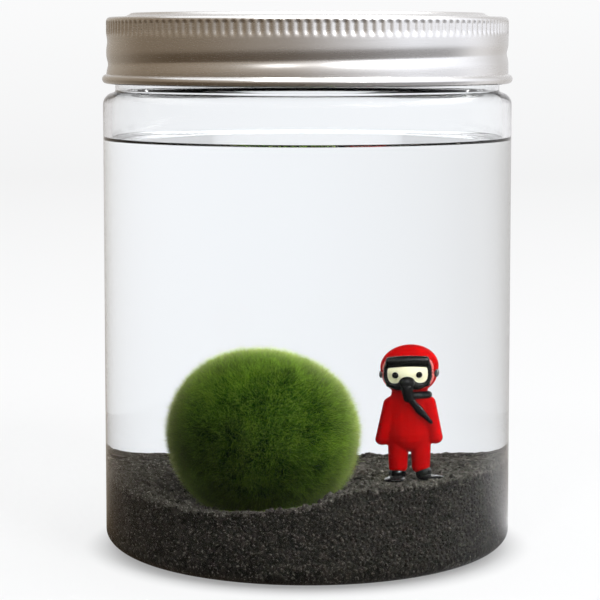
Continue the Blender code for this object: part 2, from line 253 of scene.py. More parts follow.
class Sheet:
    """A material's or a group's node tree, with short calls to fill it."""

    def __init__(self, tree: bpy.types.NodeTree) -> None:
        """Keep the tree that nodes are added to."""
        self.tree = tree

    def node(self, kind: str, inputs: dict | None = None, **settings: object) -> bpy.types.Node:
        """Add a node, set its properties and link or set its inputs.

        Args:
            kind: The node's type.
            inputs: Values or sockets for its inputs.
            settings: Properties to set first.

        Returns:
            The new node.
        """
        made = self.tree.nodes.new(kind)
        for name, value in settings.items():
            setattr(made, name, value)
        for name, value in (inputs or {}).items():
            self.feed(made.inputs[name], value)
        return made

    def feed(self, socket: bpy.types.NodeSocket, value: Value) -> None:
        """Link a socket to another socket, or set its value.

        Args:
            socket: The input to fill.
            value: A socket or a plain value.
        """
        if isinstance(value, bpy.types.NodeSocket):
            self.tree.links.new(value, socket)
        else:
            socket.default_value = value

    def maths(self, operation: str, a: Value, b: Value = 0.0, c: Value = 0.0) -> bpy.types.NodeSocket:
        """Add a Math node and return its result."""
        return self.node("ShaderNodeMath", {0: a, 1: b, 2: c}, operation=operation).outputs[0]

    def mix(self, factor: Value, a: Value, b: Value, blend: str = "MIX") -> bpy.types.NodeSocket:
        """Mix two colours and return the result.

        Args:
            factor: The share of b.
            a: The first colour.
            b: The second colour.
            blend: The node's blend type.

        Returns:
            The socket of the mixed colour.
        """
        made = self.node("ShaderNodeMix", data_type="RGBA", blend_type=blend)
        self.feed(made.inputs[0], factor)
        self.feed(made.inputs[6], a)
        self.feed(made.inputs[7], b)
        return made.outputs[2]

    def ramp(self, factor: Value, stops: Sequence[tuple[float, Colour]]) -> bpy.types.NodeSocket:
        """Add a colour ramp with the given stops and return its colour.

        Args:
            factor: The value that is looked up.
            stops: Places from 0 to 1, each with its colour.

        Returns:
            The socket of the ramp's colour.
        """
        made = self.node("ShaderNodeValToRGB", {0: factor})
        elements = made.color_ramp.elements
        while len(elements) < len(stops):
            elements.new(0.5)
        for element, (place, colour) in zip(elements, stops):
            element.position = place
            element.color = (*colour, 1.0)
        return made.outputs[0]

    def noise(self, where: Value, scale: Value, detail: float, rough: float = 0.5) -> bpy.types.NodeSocket:
        """Add a noise texture and return its value."""
        inputs = {"Vector": where, "Scale": scale, "Detail": detail, "Roughness": rough}
        return self.node("ShaderNodeTexNoise", inputs).outputs[0]

    def vector(
        self, operation: str, a: Value, b: Value = (0.0, 0.0, 0.0), c: Value = (0.0, 0.0, 0.0)
    ) -> bpy.types.NodeSocket:
        """Add a Vector Math node and return its result, a number for a dot product or a length."""
        made = self.node("ShaderNodeVectorMath", {0: a, 1: b, 2: c}, operation=operation)
        return made.outputs["Value" if operation in ("DOT_PRODUCT", "LENGTH") else "Vector"]

    def ranged(
        self, value: Value, source: Point2, target: tuple[Value, Value] = (0.0, 1.0), kind: str = "LINEAR"
    ) -> bpy.types.NodeSocket:
        """Map a value from a source range to a target range and return the result.

        Args:
            value: The value to map.
            source: The range that it comes from.
            target: The range that it goes to.
            kind: The node's interpolation.

        Returns:
            The socket of the mapped value.
        """
        inputs = {0: value, 1: source[0], 2: source[1], 3: target[0], 4: target[1]}
        return self.node("ShaderNodeMapRange", inputs, interpolation_type=kind).outputs[0]

    def group(self, tree: bpy.types.NodeTree, *values: Value) -> list[bpy.types.NodeSocket]:
        """Place a node group, fill its inputs in order and return its outputs.

        Args:
            tree: The group.
            values: Values or sockets for its inputs.

        Returns:
            The group's output sockets.
        """
        placed_group = self.node("ShaderNodeGroup", node_tree=tree)
        for socket, value in zip(placed_group.inputs, values):
            self.feed(socket, value)
        return list(placed_group.outputs)

    def place(
        self, scale: Sequence[float] = (1, 1, 1), centre: Sequence[float] = (0, 0, 0)
    ) -> bpy.types.NodeSocket:
        """Return Object coordinates moved to a centre and stretched.

        Args:
            scale: The stretch along each axis.
            centre: The place that becomes the origin.

        Returns:
            The socket of the coordinates.
        """
        where = self.node("ShaderNodeTexCoord").outputs["Object"]
        shift = [-c * s for c, s in zip(centre, scale)]
        return self.node("ShaderNodeMapping", {0: where, "Location": shift, "Scale": list(scale)}).outputs[0]

    def bump(self, height: Value, strength: float, distance: float) -> bpy.types.NodeSocket:
        """Add a Bump node and return its normal."""
        inputs = {"Height": height, "Strength": strength, "Distance": distance}
        return self.node("ShaderNodeBump", inputs).outputs[0]


def new_group(
    name: str, inputs: Iterable[tuple[str, str, object]], outputs: Iterable[tuple[str, str]]
) -> Sheet:
    """Make an empty shader node group with named sockets.

    Args:
        name: The group's name.
        inputs: The name, type and default of each input.
        outputs: The name and type of each output.

    Returns:
        The sheet of the group's tree.
    """
    tree = bpy.data.node_groups.new(name, "ShaderNodeTree")
    for label, kind, value in inputs:
        tree.interface.new_socket(label, in_out="INPUT", socket_type=kind).default_value = value
    for label, kind in outputs:
        tree.interface.new_socket(label, in_out="OUTPUT", socket_type=kind)
    return Sheet(tree)


def grain_group() -> bpy.types.NodeTree:
    """Build the grain that several finishes share: a fine mask and a height.

    Returns:
        The node group.
    """
    sheet = new_group(
        "surface_grain",
        (("Vector", "NodeSocketVector", (0, 0, 0)), ("Scale", "NodeSocketFloat", 800.0)),
        (("Mask", "NodeSocketFloat"), ("Height", "NodeSocketFloat")),
    )
    entry = sheet.node("NodeGroupInput")
    where, scale = entry.outputs[0], entry.outputs[1]
    fine = sheet.noise(where, scale, 4.0, 0.6)
    broad = sheet.noise(where, sheet.maths("MULTIPLY", scale, 0.13), 2.0)
    mask = sheet.maths("MULTIPLY_ADD", broad, 0.6, sheet.maths("MULTIPLY", fine, 0.4))
    sheet.node("NodeGroupOutput", {0: mask, 1: fine})
    return sheet.tree


def wave_group() -> bpy.types.NodeTree:
    """Build the faint waviness that glass and water share.

    Returns:
        The node group.
    """
    sheet = new_group(
        "clear_wave",
        (("Vector", "NodeSocketVector", (0, 0, 0)), ("Scale", "NodeSocketFloat", 50.0)),
        (("Height", "NodeSocketFloat"),),
    )
    entry = sheet.node("NodeGroupInput")
    sheet.node("NodeGroupOutput", {0: sheet.noise(entry.outputs[0], entry.outputs[1], 1.0)})
    return sheet.tree


def speckle_group() -> bpy.types.NodeTree:
    """Build the gravel's speckle: a mottle from grain to grain, and a mask of pale flecks.

    Returns:
        The node group.
    """
    sheet = new_group(
        "gravel_speckle",
        (
            ("Vector", "NodeSocketVector", (0, 0, 0)),
            ("Mask", "NodeSocketFloat", 0.5),
            ("Grain Scale", "NodeSocketFloat", 850.0),
            ("Fleck Scale", "NodeSocketFloat", 3800.0),
        ),
        (("Mottle", "NodeSocketFloat"), ("Fleck", "NodeSocketFloat")),
    )
    where, mask, grain_scale, fleck_scale = sheet.node("NodeGroupInput").outputs[:4]
    picks = []
    for scale in (grain_scale, fleck_scale):
        cells = sheet.node("ShaderNodeTexVoronoi", {"Vector": where, "Scale": scale}).outputs["Color"]
        picks.append(sheet.node("ShaderNodeSeparateColor", {0: cells}).outputs[0])
    grain, fleck = picks
    uneven = sheet.maths("MULTIPLY", mask, 0.5)
    mottle = sheet.maths("MULTIPLY_ADD", sheet.maths("POWER", grain, 1.6), 0.7, uneven)
    bright = sheet.maths("MULTIPLY", sheet.maths("GREATER_THAN", fleck, 0.90), 0.7)
    sheet.node("NodeGroupOutput", {0: mottle, 1: bright})
    return sheet.tree


def moss_painted_light_group() -> bpy.types.NodeTree:
    """Build the ball's painted light: painted shade, darker on the side away from the light above and to the
    right, and how strongly its painted rim glow may show.

    Returns:
        The node group.
    """
    sheet = new_group(
        "moss_depth",
        (("Vector", "NodeSocketVector", (0, 0, 0)), ("Halo", "NodeSocketFloat", 0.0)),
        (("Outward", "NodeSocketVector"), ("Shade", "NodeSocketFloat"), ("Halo", "NodeSocketFloat")),
    )
    where, painted_glow = sheet.node("NodeGroupInput").outputs[:2]
    outward = sheet.vector("NORMALIZE", where)
    # Painted shade: the colour is darkened on the side of the ball that faces away from the light above and to
    # the right.
    sunny = sheet.vector("DOT_PRODUCT", outward, (0.42, -0.20, 0.885))
    shade = sheet.ranged(sunny, (-0.75, 0.75), (0.26, 1.10), "SMOOTHSTEP")
    # Painted rim glow: the strength allowed is full on the upper half of the ball and faint on its lower half.
    risen = sheet.vector("DOT_PRODUCT", outward, (0.15, 0.0, 0.99))
    edge = sheet.ranged(risen, (-0.8, 0.0), (0.12, painted_glow))
    sheet.node("NodeGroupOutput", {0: outward, 1: shade, 2: edge})
    return sheet.tree


@dataclass(frozen=True)
class Effects:
    """The node groups that several finishes share, built once."""

    grain: bpy.types.NodeTree = field(default_factory=grain_group)
    wave: bpy.types.NodeTree = field(default_factory=wave_group)
    speckle: bpy.types.NodeTree = field(default_factory=speckle_group)
    # The moss ball's painted shade and painted rim glow.
    ball: bpy.types.NodeTree = field(default_factory=moss_painted_light_group)


@dataclass(frozen=True)
class Finish:
    """The base of every finish: a name and the shared effects."""

    name: str
    effects: Effects

    def start(self) -> tuple[bpy.types.Material, Sheet, bpy.types.Node]:
        """Make a material.

        Returns:
            The material, its sheet and its Principled shader.
        """
        material = bpy.data.materials.new(self.name)
        material.use_nodes = True
        return material, Sheet(material.node_tree), material.node_tree.nodes["Principled BSDF"]


@dataclass(frozen=True)
class ClearFinish(Finish):
    """Glass or water: see-through, with a faint waviness of its surface."""

    ior: float
    tint: Colour
    mirror: float
    wave_scale: float
    wave_strength: float
    wave_stretch: Colour = (1.0, 1.0, 0.35)
    wave_height: float = 1.0 * MM

    def build(self) -> bpy.types.Material:
        """Build the material.

        Returns:
            The finished material.
        """
        material, sheet, shader = self.start()
        shader.inputs["Base Color"].default_value = (*self.tint, 1.0)
        shader.inputs["Transmission Weight"].default_value = 1.0
        shader.inputs["IOR"].default_value = self.ior
        shader.inputs["Roughness"].default_value = 0.0
        shader.inputs["Specular Tint"].default_value = (self.mirror, self.mirror, self.mirror, 1.0)
        wave = sheet.group(self.effects.wave, sheet.place(self.wave_stretch), self.wave_scale)[0]
        sheet.feed(shader.inputs["Normal"], sheet.bump(wave, self.wave_strength, self.wave_height))
        return material


@dataclass(frozen=True)
class AluminiumFinish(Finish):
    """Satin rolled aluminium with fine streaks round the axis."""

    colour: Colour
    roughness: float
    darkening: float = 0.93
    rough_spread: float = 0.10
    streak_stretch: Colour = (0.06, 0.06, 1.0)
    streak_scale: float = 2600.0
    relief: float = 0.12
    relief_height: float = 0.03 * MM

    def build(self) -> bpy.types.Material:
        """Build the material.

        Returns:
            The finished material.
        """
        material, sheet, shader = self.start()
        streaks = sheet.place(self.streak_stretch)
        mask, height = sheet.group(self.effects.grain, streaks, self.streak_scale)
        dark = tuple(c * self.darkening for c in self.colour)
        sheet.feed(shader.inputs["Base Color"], sheet.mix(mask, (*dark, 1), (*self.colour, 1)))
        shader.inputs["Metallic"].default_value = 1.0
        low = self.roughness - self.rough_spread / 2
        sheet.feed(shader.inputs["Roughness"], sheet.maths("MULTIPLY_ADD", mask, self.rough_spread, low))
        sheet.feed(shader.inputs["Normal"], sheet.bump(height, self.relief, self.relief_height))
        return material


@dataclass(frozen=True)
class PlasticFinish(Finish):
    """A moulded or painted surface: colour that varies a little, grain and gloss."""

    colour: Colour
    shade: Colour
    roughness: float
    grain_scale: float
    relief: float
    specular: float = 0.5
    rough_spread: float = 0.12
    relief_height: float = 0.05 * MM

    def build(self) -> bpy.types.Material:
        """Build the material.

        Returns:
            The finished material.
        """
        material, sheet, shader = self.start()
        mask, height = sheet.group(self.effects.grain, sheet.place(), self.grain_scale)
        sheet.feed(shader.inputs["Base Color"], sheet.mix(mask, (*self.shade, 1), (*self.colour, 1)))
        low = self.roughness - self.rough_spread / 2
        sheet.feed(shader.inputs["Roughness"], sheet.maths("MULTIPLY_ADD", mask, self.rough_spread, low))
        shader.inputs["Specular IOR Level"].default_value = self.specular
        sheet.feed(shader.inputs["Normal"], sheet.bump(height, self.relief, self.relief_height))
        return material


@dataclass(frozen=True)
class StoneFinish(Finish):
    """Dark mineral grains, each a little lighter or darker than the next, with pale flecks."""

    dark: Colour
    light: Colour
    fleck: Colour
    roughness: float
    rough_spread: float = 0.3
    specular: float = 0.02
    cell_scale: float = 850.0
    fleck_scale: float = 3800.0
    grain_scale: float = 2400.0
    relief: float = 0.8
    relief_height: float = 0.10 * MM

    def build(self) -> bpy.types.Material:
        """Build the material.

        Returns:
            The finished material.
        """
        material, sheet, shader = self.start()
        where = sheet.place()
        mask, height = sheet.group(self.effects.grain, where, self.grain_scale)
        speckle = sheet.group(self.effects.speckle, where, mask, self.cell_scale, self.fleck_scale)
        stone = sheet.mix(speckle[0], (*self.dark, 1), (*self.light, 1))
        sheet.feed(shader.inputs["Base Color"], sheet.mix(speckle[1], stone, (*self.fleck, 1)))
        low = self.roughness - self.rough_spread / 2
        sheet.feed(shader.inputs["Roughness"], sheet.maths("MULTIPLY_ADD", mask, self.rough_spread, low))
        shader.inputs["Specular IOR Level"].default_value = self.specular
        sheet.feed(shader.inputs["Normal"], sheet.bump(height, self.relief, self.relief_height))
        return material


@dataclass(frozen=True)
class MossFinish(Finish):
    """Fine algae threads: dark at the root, yellow-green and letting light through at the tip, with painted
    shade away from the light and a painted glow at the ball's rim.
    """

    root: Colour
    middle: Colour
    tip: Colour
    # The colour of the painted rim glow.
    edge: Colour
    centre: Colour
    through: float = 0.0
    painted_glow: float = 0.0
    on_threads: bool = False
    middle_place: float = 0.55
    painted_glow_power: float = 3.4
    roughness: float = 0.8
    specular: float = 0.006
    grain_scale: float = 900.0
    relief: float = 0.3
    relief_height: float = 0.1 * MM

    def build(self) -> bpy.types.Material:
        """Build the material.

        Returns:
            The finished material.
        """
        material, sheet, shader = self.start()
        mask, height = sheet.group(self.effects.grain, sheet.place(), self.grain_scale)
        stops = ((0.0, self.root), (self.middle_place, self.middle), (1.0, self.tip))
        colour = sheet.ramp(self.height_up(sheet, mask), stops)
        # Painted shade: the colour is multiplied by the ball's painted shade.
        outward, shade, painted_glow = sheet.group(self.effects.ball, sheet.place(centre=self.centre), self.painted_glow)
        colour = sheet.mix(1.0, colour, shade, "MULTIPLY")
        # Painted rim glow: the colour turns towards the edge colour at the ball's outline as seen.
        facing = sheet.node("ShaderNodeLayerWeight", {0: 0.5, 1: outward}).outputs["Facing"]
        glow = sheet.maths("MULTIPLY", sheet.maths("POWER", facing, self.painted_glow_power), painted_glow)
        colour = sheet.mix(glow, colour, (*self.edge, 1.0))
        sheet.feed(shader.inputs["Base Color"], colour)
        shader.inputs["Roughness"].default_value = self.roughness
        shader.inputs["Specular IOR Level"].default_value = self.specular
        sheet.feed(shader.inputs["Normal"], sheet.bump(height, self.relief, self.relief_height))
        if self.through > 0.0:
            lit = sheet.node("ShaderNodeBsdfTranslucent", {"Color": colour}).outputs[0]
            both = sheet.node("ShaderNodeMixShader", {0: self.through, 1: shader.outputs[0], 2: lit})
            sheet.feed(material.node_tree.nodes["Material Output"].inputs["Surface"], both.outputs[0])
        return material

    def height_up(self, sheet: Sheet, mask: bpy.types.NodeSocket) -> bpy.types.NodeSocket:
        """Return how far up its thread a place is, varied from thread to thread.

        Args:
            sheet: The material's sheet.
            mask: The grain's mask.

        Returns:
            The socket of a value from 0 at the root to 1 at the tip.
        """
        if not self.on_threads:
            return sheet.maths("MULTIPLY", mask, 0.3)
        along = sheet.node("ShaderNodeUVMap", uv_map="UVMap").outputs[0]
        thread, up = sheet.node("ShaderNodeSeparateXYZ", {0: along}).outputs[:2]
        up = sheet.maths("MULTIPLY_ADD", sheet.maths("SUBTRACT", thread, 0.5), 0.35, up)
        return sheet.maths("MULTIPLY_ADD", sheet.maths("SUBTRACT", mask, 0.5), 0.5, up)


@dataclass
class Finishes:
    """Every finish of the object, built once."""

    effects: Effects = field(default_factory=Effects)

    def __post_init__(self) -> None:
        """Build the materials."""
        self.build_clear_and_metal()
        self.build_gravel()
        self.build_moss()
        self.build_diver()

    def build_clear_and_metal(self) -> None:
        """Build the jar's, the water's and the lid's finishes."""
        shared = self.effects
        self.glass = ClearFinish("clear_glass", shared, 1.5, (0.985, 0.993, 0.99), 0.06, 60.0, 0.02).build()
        self.water = ClearFinish("clear_water", shared, 1.333, (0.992, 0.997, 1.0), 0.10, 40.0, 0.01).build()
        self.aluminium = AluminiumFinish("satin_aluminium", shared, (0.80, 0.79, 0.78), 0.27).build()
        self.foam = PlasticFinish(
            "liner_foam", shared, (0.86, 0.86, 0.84), (0.70, 0.70, 0.68), 0.75, 1800.0, 0.5
        ).build()

    def build_gravel(self) -> None:
        """Build the gravel's finishes: at the glass, paler on top, and in the depth."""
        shared = self.effects
        self.stones = StoneFinish(
            "dark_gravel", shared, (0.0085, 0.008, 0.006), (0.039, 0.036, 0.029), (0.15, 0.14, 0.12), 0.80
        ).build()
        # Paler grains for the top of the bed.
        self.paler_top = StoneFinish(
            "dusty_gravel", shared, (0.028, 0.026, 0.021), (0.105, 0.098, 0.083), (0.24, 0.225, 0.195), 0.85
        ).build()
        self.bed = StoneFinish(
            "gravel_bed", shared, (0.008, 0.0075, 0.006), (0.03, 0.028, 0.024), (0.06, 0.056, 0.05), 0.85
        ).build()

    def build_moss(self) -> None:
        """Build the finishes of the ball's threads and of its core."""
        low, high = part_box("moss_ball")
        ball = tuple((low + high) / 2)
        # The colour of the moss ball's painted rim glow.
        edge = (0.95, 1.0, 0.42)
        threads = ((0.002, 0.008, 0.001), (0.029, 0.098, 0.003), (0.50, 0.82, 0.09))
        self.threads = MossFinish(
            "moss_threads", self.effects, *threads, edge, ball, through=0.62, painted_glow=0.75, on_threads=True
        ).build()
        core = ((0.006, 0.018, 0.001), (0.012, 0.036, 0.003), (0.02, 0.06, 0.004))
        # The core gets the same painted shade and only a faint painted rim glow on the ball's lower half.
        self.core = MossFinish("moss_core", self.effects, *core, edge, ball).build()

    def build_diver(self) -> None:
        """Build the diver's finishes."""
        shared = self.effects
        self.red = PlasticFinish(
            "red_suit", shared, (0.44, 0.0003, 0.0006), (0.38, 0.0002, 0.0005), 0.50, 700.0, 0.12, 0.005
        ).build()
        self.black = PlasticFinish(
            "gloss_black", shared, (0.005, 0.005, 0.005), (0.003, 0.003, 0.003), 0.08, 900.0, 0.05, 0.10
        ).build()
        self.cream = PlasticFinish(
            "cream_face", shared, (0.96, 0.93, 0.68), (0.92, 0.87, 0.58), 0.40, 900.0, 0.1
        ).build()
        self.trim = PlasticFinish(
            "hood_trim", shared, (0.80, 0.20, 0.17), (0.70, 0.12, 0.10), 0.45, 900.0, 0.12
        ).build()
        self.grey = PlasticFinish(
            "grey_strap", shared, (0.10, 0.10, 0.10), (0.06, 0.06, 0.06), 0.45, 1200.0, 0.2
        ).build()


# ---------------------------------------------------------------------------
# Scattering small pieces over a surface
# ---------------------------------------------------------------------------


@dataclass
class Scatter:
    """Copies of small shapes joined over a surface, made real by a Geometry Nodes tree."""

    name: str
    density: float
    spread: Spread
    spacing: float
    scale: Point2
    seed: int
    lean: float = 0.0
    tumble: float = 0.0
    swirl_scale: float = 170.0
    facing: str = "facing"
    inside: float = 9.0 * MM

    def build(self, ground: bpy.types.Object, shapes: Sequence[bpy.types.Object]) -> bpy.types.Object:
        """Scatter the shapes over the ground.

        Args:
            ground: The surface that the points are spread on.
            shapes: The small shapes, one of which is picked for each point.

        Returns:
            One object with every copy joined in it.
        """
        store = bpy.data.collections.new(self.name + "_shapes")
        for shape in shapes:
            store.objects.link(shape)
        tree = bpy.data.node_groups.new(self.name, "GeometryNodeTree")
        tree.interface.new_socket("Geometry", in_out="INPUT", socket_type="NodeSocketGeometry")
        tree.interface.new_socket("Geometry", in_out="OUTPUT", socket_type="NodeSocketGeometry")
        sheet = Sheet(tree)
        entry, leave = sheet.node("NodeGroupInput"), sheet.node("NodeGroupOutput")
        if self.spread is Spread.EVEN:
            base = self.even_points(ground.data)
            points = entry.outputs[0]
            named = sheet.node("GeometryNodeInputNamedAttribute", data_type="FLOAT_VECTOR")
            named.inputs["Name"].default_value = self.facing
            normal = named.outputs["Attribute"]
        else:
            base = ground.data
            thrown = sheet.node("GeometryNodeDistributePointsOnFaces", {"Mesh": entry.outputs[0]})
            thrown.inputs["Density"].default_value = self.density
            thrown.inputs["Seed"].default_value = self.seed
            points, normal = thrown.outputs["Points"], thrown.outputs["Normal"]
        rotation = self.turned(sheet, normal)
        size = sheet.node("FunctionNodeRandomValue", data_type="FLOAT")
        size.inputs[2].default_value, size.inputs[3].default_value = self.scale
        size.inputs["Seed"].default_value = self.seed + 1
        source = sheet.node("GeometryNodeCollectionInfo")
        source.inputs["Collection"].default_value = store
        source.inputs["Separate Children"].default_value = True
        source.inputs["Reset Children"].default_value = True
        copies = sheet.node("GeometryNodeInstanceOnPoints")
        sheet.feed(copies.inputs["Points"], points)
        sheet.feed(copies.inputs["Instance"], source.outputs[0])
        copies.inputs["Pick Instance"].default_value = True
        sheet.feed(copies.inputs["Rotation"], rotation)
        sheet.feed(copies.inputs["Scale"], size.outputs[1])
        real = sheet.node("GeometryNodeRealizeInstances", {0: copies.outputs[0]})
        sheet.feed(leave.inputs[0], real.outputs[0])
        carrier = bpy.data.objects.new(self.name, base)
        bpy.context.scene.collection.objects.link(carrier)
        carrier.modifiers.new("scatter", "NODES").node_group = tree
        applied(carrier)
        if self.facing in carrier.data.attributes:
            carrier.data.attributes.remove(carrier.data.attributes[self.facing])
        for shape in shapes:
            bpy.data.objects.remove(shape, do_unlink=True)
        bpy.data.collections.remove(store)
        return carrier

    def facets(self, ground: bpy.types.Mesh) -> list[list[Vector]]:
        """Cut a mesh into triangles in an order that rests only on their places.

        Args:
            ground: The mesh.

        Returns:
            The corners of each triangle.
        """
        cut = []
        for polygon in ground.polygons:
            ring = [tuple(round(part, 7) for part in ground.vertices[corner].co) for corner in polygon.vertices]
            least = ring.index(min(ring))
            ring = ring[least:] + ring[:least]
            cut += [sorted((ring[0], *pair)) for pair in zip(ring[1:], ring[2:])]
        return [[Vector(corner) for corner in facet] for facet in sorted(cut)]

    def even_points(self, ground: bpy.types.Mesh) -> bpy.types.Mesh:
        """Throw seeded darts at the ground and keep those that lie far enough apart.

        Args:
            ground: The surface that they land on.

        Returns:
            A mesh of the kept points, each with the ground's normal.
        """
        facets = self.facets(ground)
        crosses = [(second - first).cross(third - first) for first, second, third in facets]
        reach = list(itertools.accumulate(cross.length / 2 for cross in crosses))
        middle = sum((facet[0] for facet in facets), Vector()) / len(facets)
        middle.z = min(middle.z, self.inside)
        rng = random.Random(self.seed)
        kept: dict[tuple[int, ...], list[Vector]] = {}
        spots, normals = [], []
        for pick in rng.choices(range(len(facets)), cum_weights=reach, k=round(self.density * reach[-1])):
            first, second, third = facets[pick]
            a, b = sorted((rng.random(), rng.random()))
            spot = first + (second - first) * a + (third - first) * (1.0 - b)
            cell = [math.floor(part / self.spacing) for part in spot]
            around = itertools.product(*((index - 1, index, index + 1) for index in cell))
            near = itertools.chain.from_iterable(kept.get(place, ()) for place in around)
            if any((spot - other).length < self.spacing for other in near):
                continue
            kept.setdefault(tuple(cell), []).append(spot)
            spots.append(spot)
            away = crosses[pick].normalized()
            normals.extend(away if away.dot(spot - middle) > 0.0 else -away)
        made = bpy.data.meshes.new(self.name + "_points")
        made.from_pydata(spots, [], [])
        made.attributes.new(self.facing, "FLOAT_VECTOR", "POINT").data.foreach_set("vector", normals)
        return made

    def turned(self, sheet: Sheet, normal: bpy.types.NodeSocket) -> bpy.types.NodeSocket:
        """Return each copy's rotation: along the swirled normal, then turned at random.

        Args:
            sheet: The tree's sheet.
            normal: The socket of the ground's normal at a point.

        Returns:
            The socket of the rotation.
        """
        where = sheet.node("GeometryNodeInputPosition").outputs[0]
        noise_inputs = {"Vector": where, "Scale": self.swirl_scale, "Detail": 2.0}
        swirl = sheet.node("ShaderNodeTexNoise", noise_inputs).outputs["Color"]
        centred = sheet.vector("SUBTRACT", swirl, (0.5, 0.5, 0.5))
        aim = sheet.vector("MULTIPLY_ADD", centred, (self.lean,) * 3, normal)
        align = sheet.node("FunctionNodeAlignRotationToVector", {"Vector": aim}, axis="Z")
        spin = sheet.node("FunctionNodeRandomValue", data_type="FLOAT_VECTOR")
        spin.inputs[0].default_value = (-self.tumble, -self.tumble, -math.pi)
        spin.inputs[1].default_value = (self.tumble, self.tumble, math.pi)
        spin.inputs["Seed"].default_value = self.seed + 2
        turn = sheet.node("FunctionNodeRotateRotation", {0: align.outputs[0]}, rotation_space="LOCAL")
        sheet.feed(turn.inputs[1], spin.outputs[0])
        return turn.outputs[0]


# ---------------------------------------------------------------------------
# The jar and its lid
# ---------------------------------------------------------------------------


@dataclass
class ScrewThread:
    """One right-hand turn of thread, as a soft bulge on a turned wall."""

    start: float = 110.3 * MM
    pitch: float = 5.08 * MM
    width: float = 0.85 * MM
    rise: float = 0.8 * MM
    fade_deg: float = 14.0

    def bulge(self, angle: float, height: float) -> float:
        """Return how far the wall stands out at an angle (0 to a full turn) and a height.

        Args:
            angle: The angle round the axis.
            height: The height above the base.

        Returns:
            The bulge.
        """
        total = 0.0
        for turn in (angle, angle + math.tau):
            if turn > math.tau:
                continue
            centre = self.start + self.pitch * turn / math.tau
            off = (height - centre) / self.width
            ends = smoothstep(0.0, self.fade_deg, math.degrees(min(turn, math.tau - turn)))
            total += self.rise * math.exp(-off * off * 1.6) * ends
        return total


@dataclass
class Jar:
    """The clear vessel: straight wall, rounded heel, soft shoulder and threaded neck."""

    finishes: Finishes
    wall: float = 1.8 * MM
    floor: float = 0.45 * MM
    heel: float = 7.5 * MM
    heel_rise: float = 4.4 * MM
    shoulder: float = 2.7 * MM
    shoulder_height: float = 100.0 * MM
    neck_radius: float = 42.9 * MM
    neck_wall: float = 0.8 * MM
    inner_bend: float = 2.0 * MM
    inner_fold: float = 0.4 * MM
    rim: float = 0.39 * MM
    kick: float = 0.5 * MM
    kick_slope: float = 3.0 * MM
    foot_ring: float = 2.0 * MM
    ledge: float = 0.7 * MM
    fillet: float = 0.5 * MM
    steps: int = 256

    def __post_init__(self) -> None:
        """Take the outer size from the frame."""
        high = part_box("jar")[1]
        self.radius = high.x
        self.height = high.z
        self.inner = self.radius - self.wall
        self.neck_inner = self.neck_radius - self.neck_wall

    def bend(self, reach: float, across: float, low: float, high: float) -> list[Point2]:
        """Return a quarter oval from the wall at reach and high down to the floor at low.

        Args:
            reach: The wall's radius.
            across: The oval's width.
            low: The floor's height.
            high: The oval's top.

        Returns:
            The points, without the first.
        """
        steps = 18
        turns = [math.radians(90.0 * step / steps) for step in range(1, steps + 1)]
        return [(reach - across * (1.0 - math.cos(t)), high - (high - low) * math.sin(t)) for t in turns]

    def inner_heel(self, sink: float) -> list[Point2]:
        """Return the inner heel from the wall down to the floor, sunk into the room by sink."""
        across = self.heel - self.wall
        return self.bend(self.inner - sink, across - sink * 0.5, self.floor + sink, self.heel_rise + 0.1 * MM)

    def outline(self) -> list[Point2]:
        """Return the wall's outline: up the inside, over the rim, down the outside.

        Returns:
            The (r, z) points.
        """
        points = [(0.0, self.floor)]
        points += straight(points[-1], (self.radius - self.heel, self.floor), 6)
        points += self.inner_heel(0.0)[::-1]
        top = self.shoulder_height
        points += straight(points[-1], (self.inner, top - 0.3 * MM), 24)
        points += arc((self.inner - self.inner_bend, top), self.inner_bend, 0, 75, 14)
        fold = (self.neck_inner + self.inner_fold, top + self.inner_bend + 0.33 * MM)
        points += arc(fold, self.inner_fold, 250, 180, 6)
        points += straight(points[-1], (self.neck_inner, self.height - self.rim), 10)
        rim_centre = (self.neck_inner + self.rim, self.height - self.rim)
        points += arc(rim_centre, self.rim, 165, 90, 5)
        points += arc((self.neck_radius - self.rim, self.height - self.rim), self.rim, 90, 0, 6)
        foot = self.shoulder_height + self.shoulder + self.ledge
        points += straight(points[-1], (self.neck_radius, foot), 40)
        points += arc((self.neck_radius + self.fillet, foot - 0.2 * MM), self.fillet, 180, 262, 5)
        points += arc((self.radius - self.shoulder, self.shoulder_height), self.shoulder, 84, 0, 14)
        points += straight(points[-1], (self.radius, self.heel_rise), 24)
        points += self.bend(self.radius, self.heel, 0.0, self.heel_rise)
        inside = self.radius - self.heel - self.foot_ring
        points += straight(points[-1], (inside, 0.0), 3)
        points += straight(points[-1], (inside - self.kick_slope, self.kick), 3)
        points += straight(points[-1], (0.0, self.kick), 4)
        return points

    def build(self) -> None:
        """Build the vessel and cut its thread."""
        shape = spun(self.outline(), self.steps)
        thread = ScrewThread()
        for vert in shape.verts:
            reach = math.hypot(vert.co.x, vert.co.y)
            if reach < self.neck_radius - 0.1 * MM or vert.co.z < self.shoulder_height + self.shoulder:
                continue
            angle = math.atan2(vert.co.y, vert.co.x) % math.tau
            grow = 1.0 + thread.bulge(angle, vert.co.z) / reach
            vert.co.x *= grow
            vert.co.y *= grow
        piece = shaped("glass_jar", shape, 60.0)
        dressed(piece, self.finishes.glass, Body.VESSEL, "clear_glass", "jar")


